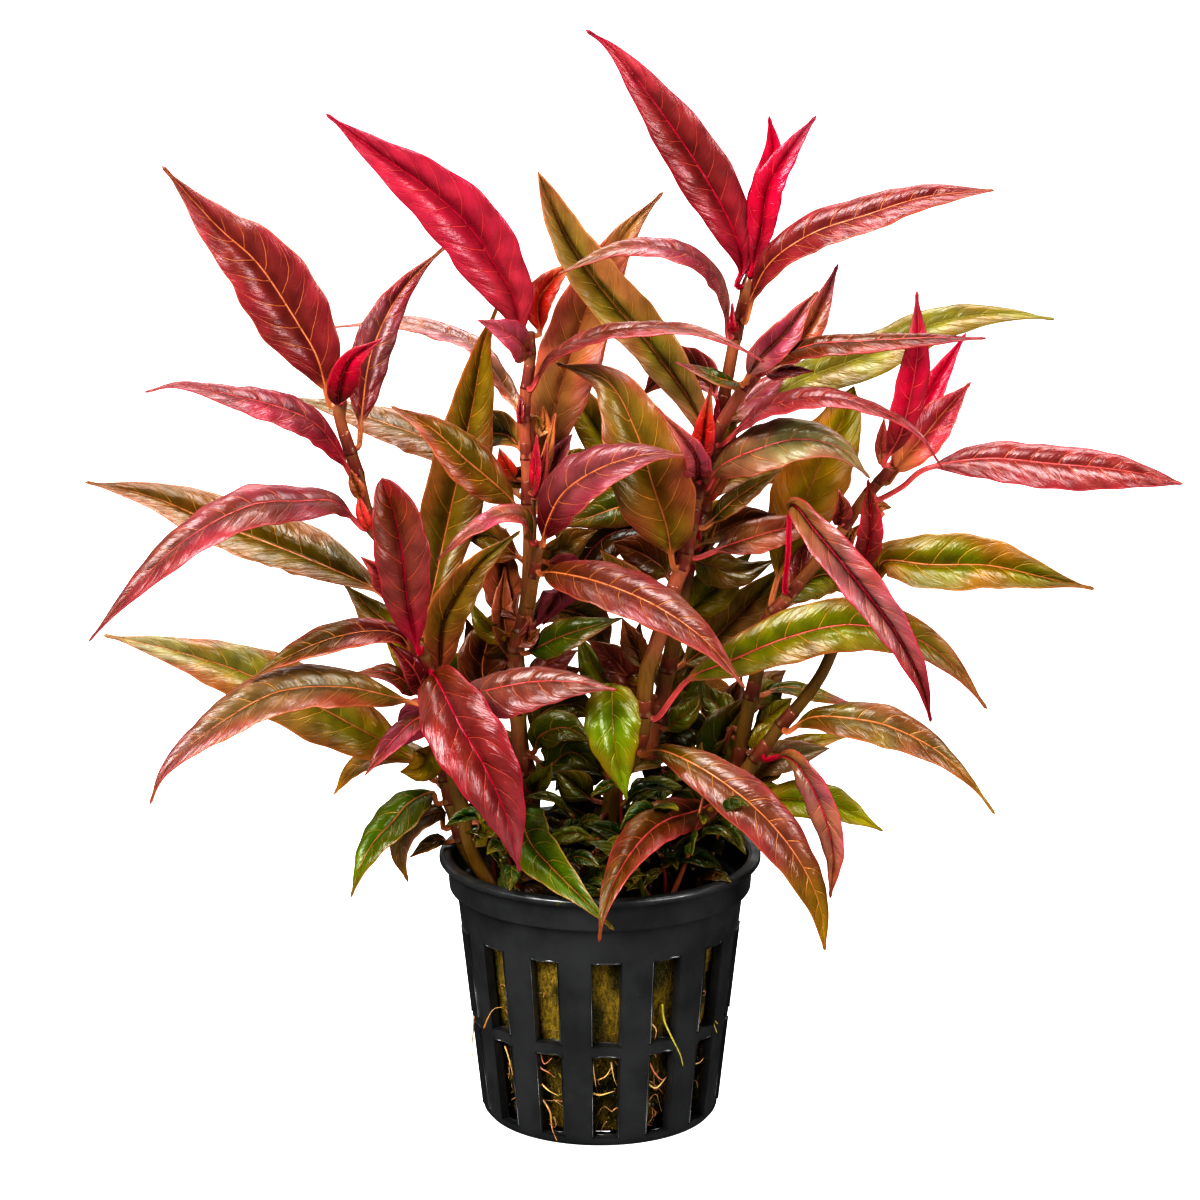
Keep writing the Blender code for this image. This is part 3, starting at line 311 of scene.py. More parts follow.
SMALL_LEAVES = {
    "leaf_a3": Leaf("stem_a", (345, 399), 6, 40, 20, 1, "magenta", 0.40, [(341, 380, -5), (352, 358, -9),
        (382, 339, -12)]),
    "leaf_b13": Leaf("stem_a", (414, 648), 7, 40, -40, 3, "green", 0.40, [(397, 631, 11), (372, 611, 15),
        (343, 583, 18)]),
    "leaf_b14": Leaf("stem_a", (396, 594), 4.5, 30, 30, 2, "crimson", 0.40, [(380, 574, -1),
        (361, 557, -3)]),
    "leaf_b6": Leaf("stem_b", (433, 692), 4.8, 30, -30, 2, "crimson", 0.40, [(413, 669, -14),
        (388, 642, -16)]),
    "leaf_b7": Leaf("stem_b", (434, 712), 6.6, 48, -46, 3, "crimson", 0.40, [(413, 722, -13),
        (388, 747, -18), (365, 775, -21)]),
    "leaf_b8": Leaf("stem_a", (425, 684), 6, 46, -52, 2, "crimson", 0.40, [(391, 674, -1), (353, 673, -4)]),
    "leaf_b11": Leaf("stem_a", (458, 824), 5.6, 40, -40, 3, "olive", 0.40, [(440, 812, 3), (411, 825, 0),
        (399, 852, -2), (408, 882, -2)]),
    "leaf_b12": Leaf("stem_a", (464, 834), 3.8, 52, -54, 2, "green", 0.40, [(436, 840, 2), (410, 857, 0)]),
    "leaf_c2": Leaf("stem_c", (529, 336), 5, 20, 18, 2, "magenta", 0.40, [(538, 303, 4), (552, 281, 5),
        (575, 261, 4)]),
    "leaf_c3": Leaf("stem_c", (530, 350), 6.4, 45, -41, 1, "crimson", 0.43, [(512, 337, -8),
        (478, 320, -13)]),
    "leaf_d2": Leaf("stem_d", (539, 540), 7.2, 62, -60, 2, "olive", 0.40, [(524, 520, -9),
        (500, 516, -12), (465, 535, -14), (435, 562, -16)]),
    "leaf_g2": Leaf("stem_c", (518, 648), 7, -40, 40, 3, "green", 0.40, [(564, 636, -3), (622, 618, -6)]),
    "leaf_g3": Leaf("stem_c", (517, 705), 8.8, 14, 14, 4, "olive", 0.45, [(482, 672, 12),
        (497, 610, 14)]),
    "leaf_g4": Leaf("stem_c", (516, 660), 4.6, 20, 20, 2, "bronze", 0.40, [(503, 610, 10), (505, 566, 11)]),
    "leaf_e3": Leaf("stem_e", (751, 274), 6, 15, 23, 2, "magenta", 0.43, [(760, 225, 11), (768, 183, 12),
        (773, 150, 12), (769, 116, 11)]),
    "leaf_f1": Leaf("stem_f", (758, 371), 5.4, 34, 24, 2, "bronze", 0.40, [(789, 353, 4), (813, 321, 6),
        (838, 264, 7)]),
    "leaf_f4": Leaf("stem_f", (762, 367), 4, -50, 50, 1, "crimson", 0.40, [(788, 372, -3), (814, 371, -5)]),
    "leaf_f5": Leaf("stem_f", (745, 386), 5.6, 60, -56, 2, "green", 0.40, [(718, 379, -7), (675, 362, -9)]),
    "leaf_f6": Leaf("stem_f", (708, 462), 4.4, 30, 30, 1, "crimson", 0.40, [(706, 418, -6), (711, 386, -7)]),
    "leaf_f10": Leaf("stem_f", (692, 522), 5, -40, 40, 3, "olive", 0.40, [(735, 500, 1), (784, 468, 3)]),
    "leaf_f12": Leaf("stem_f", (685, 556), 7.6, -40, 40, 5, "olive", 0.40, [(731, 545, 3), (780, 530, 5),
        (828, 522, 6)]),
    "leaf_f13": Leaf("stem_f", (697, 494), 8.4, -20, -20, 3, "olive", 0.40, [(630, 503, 6), (560, 528, 9)]),
    "leaf_f14": Leaf("stem_e", (698, 533), 8, 20, -40, 4, "bronze", 0.40, [(650, 528, 12),
        (600, 542, 12), (543, 625, 10)]),
    "leaf_f15": Leaf("stem_f", (670, 603), 6, 20, 20, 3, "green", 0.40, [(632, 585, 4), (600, 550, 5)]),
    "leaf_f16": Leaf("stem_f", (702, 478), 5.4, 32, 32, 3, "crimson", 0.37, [(696, 458, -13),
        (684, 439, -16), (655, 406, -17)]),
    "leaf_g10": Leaf("stem_h", (738, 765), 7, 20, 20, 3, "olive", 0.40, [(724, 735, 14), (757, 690, 17)]),
    "leaf_g11": Leaf("stem_e", (676, 632), 8, 16, 16, 3, "green", 0.40, [(691, 610, 15), (716, 587, 16),
        (752, 552, 17)]),
    "leaf_g12": Leaf("stem_e", (668, 670), 9, 20, 20, 4, "green", 0.40, [(700, 652, 20), (747, 606, 24),
        (788, 562, 26)]),
    "leaf_h3": Leaf("stem_h", (889, 470), 5.8, 20, 20, 3, "crimson", 0.40, [(913, 425, 8),
        (934, 385, 12), (966, 333, 13)]),
    "leaf_h7": Leaf("stem_h", (846, 525), 3.8, 30, 30, 1, "crimson", 0.40, [(842, 508, -3), (838, 490, -4)]),
    "leaf_h11": Leaf("stem_g", (870, 571), 4.8, 23, 21, 1, "magenta", 0.40, [(871, 530, -7),
        (868, 479, -8)]),
    "leaf_i2": Leaf("stem_g", (757, 757), 5.4, -50, 50, 3, "green", 0.40, [(800, 744, 8), (852, 735, 11)]),
    "leaf_i5": Leaf("stem_h", (751, 698), 5.6, -60, 52, 3, "green", 0.40, [(790, 688, 10), (853, 704, 13)]),
    "leaf_k1": Leaf("stem_a", (388, 560), 9, -50, 50, 5, "olive", 0.40, [(400, 540, 16), (410, 534, 30),
        (416, 556, 43)]),
    "leaf_k2": Leaf("stem_c", (527, 456), 9.4, 30, 30, 5, "olive", 0.40, [(508, 436, 18), (486, 436, 34),
        (470, 462, 46)]),
    "leaf_k3": Leaf("stem_c", (528, 520), 9.4, 30, 30, 5, "green", 0.40, [(550, 492, 20), (585, 468, 34),
        (602, 486, 46)]),
    "leaf_k4": Leaf("stem_e", (722, 408), 9.3, 30, 38, 5, "bronze", 0.37, [(705, 378, 26),
        (672, 368, 38), (640, 398, 49)]),
    "leaf_k5": Leaf("stem_e", (704, 508), 9.6, 30, 30, 5, "olive", 0.40, [(732, 476, 26), (780, 460, 38),
        (828, 480, 48)]),
    "leaf_k6": Leaf("stem_h", (767, 622), 8.8, 30, 30, 4, "green", 0.40, [(792, 590, 18), (830, 574, 30),
        (862, 600, 40)]),
    "leaf_k7": Leaf("stem_a", (432, 708), 9, 30, 30, 4, "green", 0.40, [(448, 684, 20), (478, 676, 32),
        (505, 700, 43)]),
    "leaf_k8": Leaf("stem_e", (658, 718), 9, 30, 30, 4, "olive", 0.40, [(684, 694, 26), (716, 702, 38),
        (742, 742, 47)]),
    "leaf_k9": Leaf("stem_c", (521, 632), 9, 30, 30, 4, "olive", 0.40, [(552, 610, 20), (592, 622, 34),
        (608, 668, 44)]),
    "leaf_k10": Leaf("stem_c", (527, 772), 8.6, 30, 30, 4, "green", 0.40, [(510, 752, 22),
        (484, 758, 34), (472, 798, 42)]),
    "leaf_k11": Leaf("stem_e", (652, 768), 8.6, 30, 30, 4, "green", 0.40, [(662, 744, 26),
        (678, 750, 37), (690, 782, 45)]),
}

# Tones of each leaf: at the base, over the blade, at the tip, at the edge and of the midrib. bloom is
# how strongly the blade is quilted between its veins, wet how much of it shines.
LOOKS = {
    "leaf_a1": Look("crimson", "crimson", "crimson", "ruby", "orange", 0.6, 0.1),
    "leaf_a2": Look("crimson", "dusky", "brick", "ruby", "orange", 0.7, 0.1),
    "leaf_a3": Look("crimson", "hot", "magenta", "magenta", "coral", 0.4, 0.3),
    "leaf_a4": Look("magenta", "dusky", "dusky", "ruby", "coral", 1.0, 0.4),
    "leaf_a6": Look("dusky", "brick", "brick", "ruby", "coral", 0.7, 0.5),
    "leaf_a8": Look("khaki", "khaki", "taupe", "rust", "orange", 0.5, 0.6),
    "leaf_b1": Look("magenta", "brick", "bronze", "crimson", "hot", 0.7, 0.3),
    "leaf_b2": Look("bronze", "crimson", "dusky", "magenta", "hot", 0.9, 0.6),
    "leaf_b3": Look("wine", "umber", "khaki", "ruby", "orange", 0.5, 0.2),
    "leaf_b4": Look("olive", "taupe", "dusky", "ruby", "orange", 0.9, 0.7),
    "leaf_b5": Look("lime", "sage", "straw", "ruby", "orange", 0.7, 1.0),
    "leaf_b6": Look("wine", "wine", "crimson", "ruby", "coral", 0.5, 0.3),
    "leaf_b7": Look("bronze", "dusty", "bronze", "ruby", "coral", 0.8, 0.3),
    "leaf_b8": Look("bronze", "bronze", "rust", "ruby", "coral", 0.8, 0.3),
    "leaf_b9": Look("sage", "straw", "ochre", "moss", "orange", 0.5, 0.5),
    "leaf_b10": Look("fern", "fern", "grass", "moss", "orange", 0.6, 0.6),
    "leaf_b11": Look("olive", "straw", "olive", "rust", "orange", 0.6, 0.3),
    "leaf_b12": Look("moss", "leaf", "olive", "rust", "orange", 0.5, 0.3),
    "leaf_b13": Look("moss", "lime", "olive", "rust", "orange", 0.4, 0.3),
    "leaf_b14": Look("crimson", "crimson", "rust", "ruby", "coral", 0.4, 0.3),
    "leaf_c1": Look("ruby", "magenta", "magenta", "magenta", "hot", 0.9, 0.3),
    "leaf_c2": Look("scarlet", "scarlet", "orange", "rust", "orange", 0.3, 0.3),
    "leaf_c3": Look("rust", "dusty", "dusty", "ruby", "coral", 1.0, 0.3),
    "leaf_c4": Look("olive", "olive", "gold", "rust", "orange", 0.6, 0.3),
    "leaf_c5": Look("copper", "mauve", "rose", "ruby", "orange", 0.3, 0.6),
    "leaf_c6": Look("olive", "copper", "taupe", "rust", "orange", 1.0, 0.9),
    "leaf_c7": Look("olive", "khaki", "bronze", "ruby", "orange", 0.9, 0.4),
    "leaf_c8": Look("brick", "brick", "brick", "ruby", "coral", 0.5, 0.9),
    "leaf_c10": Look("sand", "sage", "copper", "rust", "orange", 0.6, 0.4),
    "leaf_c11": Look("copper", "salmon", "copper", "ruby", "orange", 0.9, 0.4),
    "leaf_c12": Look("olive", "olive", "taupe", "ruby", "orange", 1.0, 0.4),
    "leaf_c13": Look("moss", "lime", "sand", "rust", "gold", 0.6, 0.7),
    "leaf_d1": Look("wine", "dusky", "dusky", "magenta", "orange", 1.1, 0.5),
    "leaf_d2": Look("leaf", "dusty", "rust", "ruby", "coral", 0.7, 0.3),
    "leaf_d4": Look("rust", "olive", "sage", "rust", "orange", 0.5, 0.6),
    "leaf_g1": Look("bronze", "brick", "brick", "magenta", "orange", 0.6, 0.2),
    "leaf_g2": Look("pine", "moss", "moss", "rust", "rust", 0.6, 0.3),
    "leaf_g3": Look("umber", "bronze", "olive", "rust", "orange", 0.5, 0.3),
    "leaf_g4": Look("umber", "rust", "rust", "rust", "orange", 0.4, 0.3),
    "leaf_g5": Look("mauve", "brick", "brick", "ruby", "coral", 1.1, 0.8),
    "leaf_e1": Look("magenta", "crimson", "ruby", "crimson", "hot", 0.6, 0.4),
    "leaf_e2": Look("magenta", "hot", "dusty", "hot", "hot", 0.6, 0.7),
    "leaf_e3": Look("magenta", "hot", "hot", "hot", "hot", 0.4, 0.3),
    "leaf_e4": Look("crimson", "crimson", "crimson", "ruby", "orange", 0.9, 0.5),
    "leaf_e5": Look("rose", "dusky", "taupe", "crimson", "coral", 0.9, 0.7),
    "leaf_f1": Look("rust", "rust", "dusty", "ruby", "coral", 0.5, 0.3),
    "leaf_f2": Look("rose", "dusty", "brick", "ruby", "orange", 0.6, 0.4),
    "leaf_f3": Look("umber", "bronze", "wine", "ruby", "coral", 0.7, 0.5),
    "leaf_f4": Look("wine", "wine", "crimson", "ruby", "coral", 0.5, 0.3),
    "leaf_f5": Look("moss", "moss", "dusty", "ruby", "orange", 0.7, 0.3),
    "leaf_f6": Look("crimson", "scarlet", "rust", "ruby", "coral", 0.3, 0.3),
    "leaf_f7": Look("dusky", "crimson", "crimson", "ruby", "coral", 0.6, 0.3),
    "leaf_f8": Look("sage", "sage", "sage", "leaf", "sage", 0.5, 0.5),
    "leaf_f9": Look("taupe", "straw", "straw", "rust", "coral", 0.9, 0.6),
    "leaf_f10": Look("moss", "olive", "olive", "rust", "orange", 0.4, 0.3),
    "leaf_f11": Look("ochre", "ochre", "lime", "rust", "orange", 0.5, 0.3),
    "leaf_f12": Look("bronze", "rust", "olive", "rust", "coral", 0.5, 0.3),
    "leaf_f13": Look("olive", "moss", "olive", "rust", "orange", 0.5, 0.3),
    "leaf_f14": Look("umber", "umber", "bronze", "rust", "coral", 0.4, 0.3),
    "leaf_f15": Look("moss", "olive", "olive", "rust", "orange", 0.4, 0.3),
    "leaf_f16": Look("bronze", "dusty", "rust", "crimson", "coral", 0.7, 0.3),
    "leaf_g6": Look("leaf", "grass", "grass", "gold", "gold", 0.5, 0.6),
    "leaf_g7": Look("khaki", "brick", "gold", "ruby", "orange", 0.6, 0.8),
    "leaf_g8": Look("pine", "fern", "fern", "grass", "orange", 0.5, 0.1),
    "leaf_g9": Look("umber", "bronze", "khaki", "ruby", "coral", 0.9, 0.4),
    "leaf_g10": Look("moss", "umber", "moss", "rust", "orange", 0.4, 0.3),
    "leaf_g11": Look("lime", "leaf", "lime", "leaf", "gold", 0.5, 0.3),
    "leaf_g12": Look("olive", "olive", "leaf", "olive", "orange", 0.5, 0.3),
    "leaf_g13": Look("leaf", "leaf", "copper", "rust", "coral", 0.5, 0.4),
    "leaf_h1": Look("crimson", "crimson", "crimson", "ruby", "coral", 0.8, 0.1),
    "leaf_h2": Look("salmon", "ruby", "magenta", "scarlet", "orange", 0.3, 0.2),
    "leaf_h3": Look("magenta", "hot", "hot", "ruby", "hot", 0.3, 0.3),
    "leaf_h4": Look("crimson", "hot", "magenta", "ruby", "coral", 0.4, 0.1),
    "leaf_h7": Look("crimson", "crimson", "rust", "ruby", "coral", 0.3, 0.3),
    "leaf_h9": Look("copper", "mauve", "crimson", "magenta", "hot", 0.9, 0.6),
    "leaf_h10": Look("gold", "leaf", "khaki", "rust", "orange", 0.4, 0.2),
    "leaf_h11": Look("crimson", "crimson", "bronze", "hot", "hot", 0.4, 0.3),
    "leaf_i1": Look("khaki", "taupe", "sage", "rust", "orange", 0.7, 0.8),
    "leaf_i2": Look("olive", "lime", "lime", "rust", "orange", 0.4, 0.3),
    "leaf_i3": Look("copper", "mauve", "salmon", "magenta", "hot", 0.7, 0.5),
    "leaf_i4": Look("lime", "grass", "lime", "leaf", "gold", 0.3, 0.1),
    "leaf_i5": Look("moss", "leaf", "dusty", "rust", "orange", 0.7, 0.3),
    "leaf_k1": Look("olive", "olive", "olive", "rust", "orange", 0.5, 0.3),
    "leaf_k2": Look("olive", "moss", "olive", "rust", "orange", 0.5, 0.3),
    "leaf_k3": Look("moss", "leaf", "olive", "rust", "orange", 0.5, 0.3),
    "leaf_k4": Look("bronze", "bronze", "rust", "ruby", "coral", 0.7, 0.3),
    "leaf_k5": Look("olive", "olive", "rust", "rust", "orange", 0.6, 0.3),
    "leaf_k6": Look("moss", "leaf", "olive", "rust", "orange", 0.5, 0.3),
    "leaf_k7": Look("moss", "leaf", "leaf", "olive", "orange", 0.5, 0.3),
    "leaf_k8": Look("olive", "olive", "moss", "rust", "orange", 0.5, 0.3),
    "leaf_k9": Look("umber", "olive", "moss", "rust", "orange", 0.5, 0.3),
    "leaf_k10": Look("moss", "leaf", "moss", "olive", "orange", 0.5, 0.3),
    "leaf_k11": Look("moss", "leaf", "olive", "olive", "orange", 0.5, 0.3),
}

# Gloss of each leaf material, and its bloom: how much pale dust lies on the pleats' crests, partly a painted
# sheen
FINISHES = {
    "leaf_magenta": (0.9, 0.1), "leaf_crimson": (1.0, 0.15), "leaf_bronze": (1.0, 0.12),
    "leaf_olive": (1.0, 0.06), "leaf_green": (1.0, 0.04),
}

# Roots seen in the slots: tone, half thickness, height over the wool and the places that they pass,
# each a pixel, a pixel and how much farther out
ROOTS = [
    ("green root", 0.26, 0.5, [(662, 1004, 0), (664, 1020, 0.6), (671, 1036, 2.2), (680, 1054, 2.9),
                               (683, 1066, 2.7)]),
    ("pale root", 0.22, 0.3, [(592, 1062, 0), (594, 1075, 0.3), (596, 1087, 0)]),
    ("pale root", 0.26, 0.4, [(590, 1092, 0), (600, 1095, 0.4), (615, 1091, 0)]),
    ("pale root", 0.16, 0.4, [(598, 1080, 0), (606, 1076, 0.4), (612, 1066, 0)]),
    ("pale root", 0.18, 0.4, [(611, 1062, 0), (614, 1078, 0.4), (617, 1086, 0)]),
    ("pink root", 0.22, 0.5, [(536, 1058, 0), (541, 1068, 0.5), (548, 1072, 0.5), (556, 1078, 0)]),
    ("pink root", 0.18, 0.5, [(540, 1050, 0), (544, 1064, 0.5), (552, 1058, 0.3)]),
    ("pale root", 0.24, 0.5, [(538, 1080, 0), (548, 1090, 0.6), (559, 1096, 0)]),
    ("tan root", 0.26, 0.6, [(542, 1098, 0), (550, 1112, 0.8), (552, 1128, 1.0), (557, 1141, 1.2)]),
    ("pink root", 0.22, 0.5, [(648, 1060, 0), (654, 1072, 0.6), (662, 1080, 0.4), (667, 1076, 0)]),
    ("pale root", 0.22, 0.5, [(648, 1084, 0), (656, 1088, 0.6), (666, 1078, 0.2)]),
    ("pale root", 0.2, 0.4, [(650, 1022, 0), (656, 1030, 0.4), (654, 1042, 0)]),
    ("tan root", 0.18, 0.4, [(484, 1028, 3.0), (488, 1018, 2.6), (494, 1009, 1.2), (503, 1007, 0.3)]),
    ("tan root", 0.16, 0.4, [(474, 1016, 2.4), (473, 1034, 2.9), (472, 1052, 3.0), (477, 1074, 2.6)]),
    ("pale root", 0.2, 0.4, [(505, 1046, 0), (510, 1062, 0.3), (513, 1076, 0)]),
    ("green root", 0.22, 0.4, [(709, 1010, 0.2), (713, 1022, 1.4), (717, 1033, 2.4)]),
    ("green root", 0.18, 0.4, [(712, 1018, 0.8), (718, 1024, 2.2)]),
    ("pale root", 0.18, 0.4, [(694, 1064, 0), (700, 1062, 0.5), (706, 1054, 0.2)]),
]

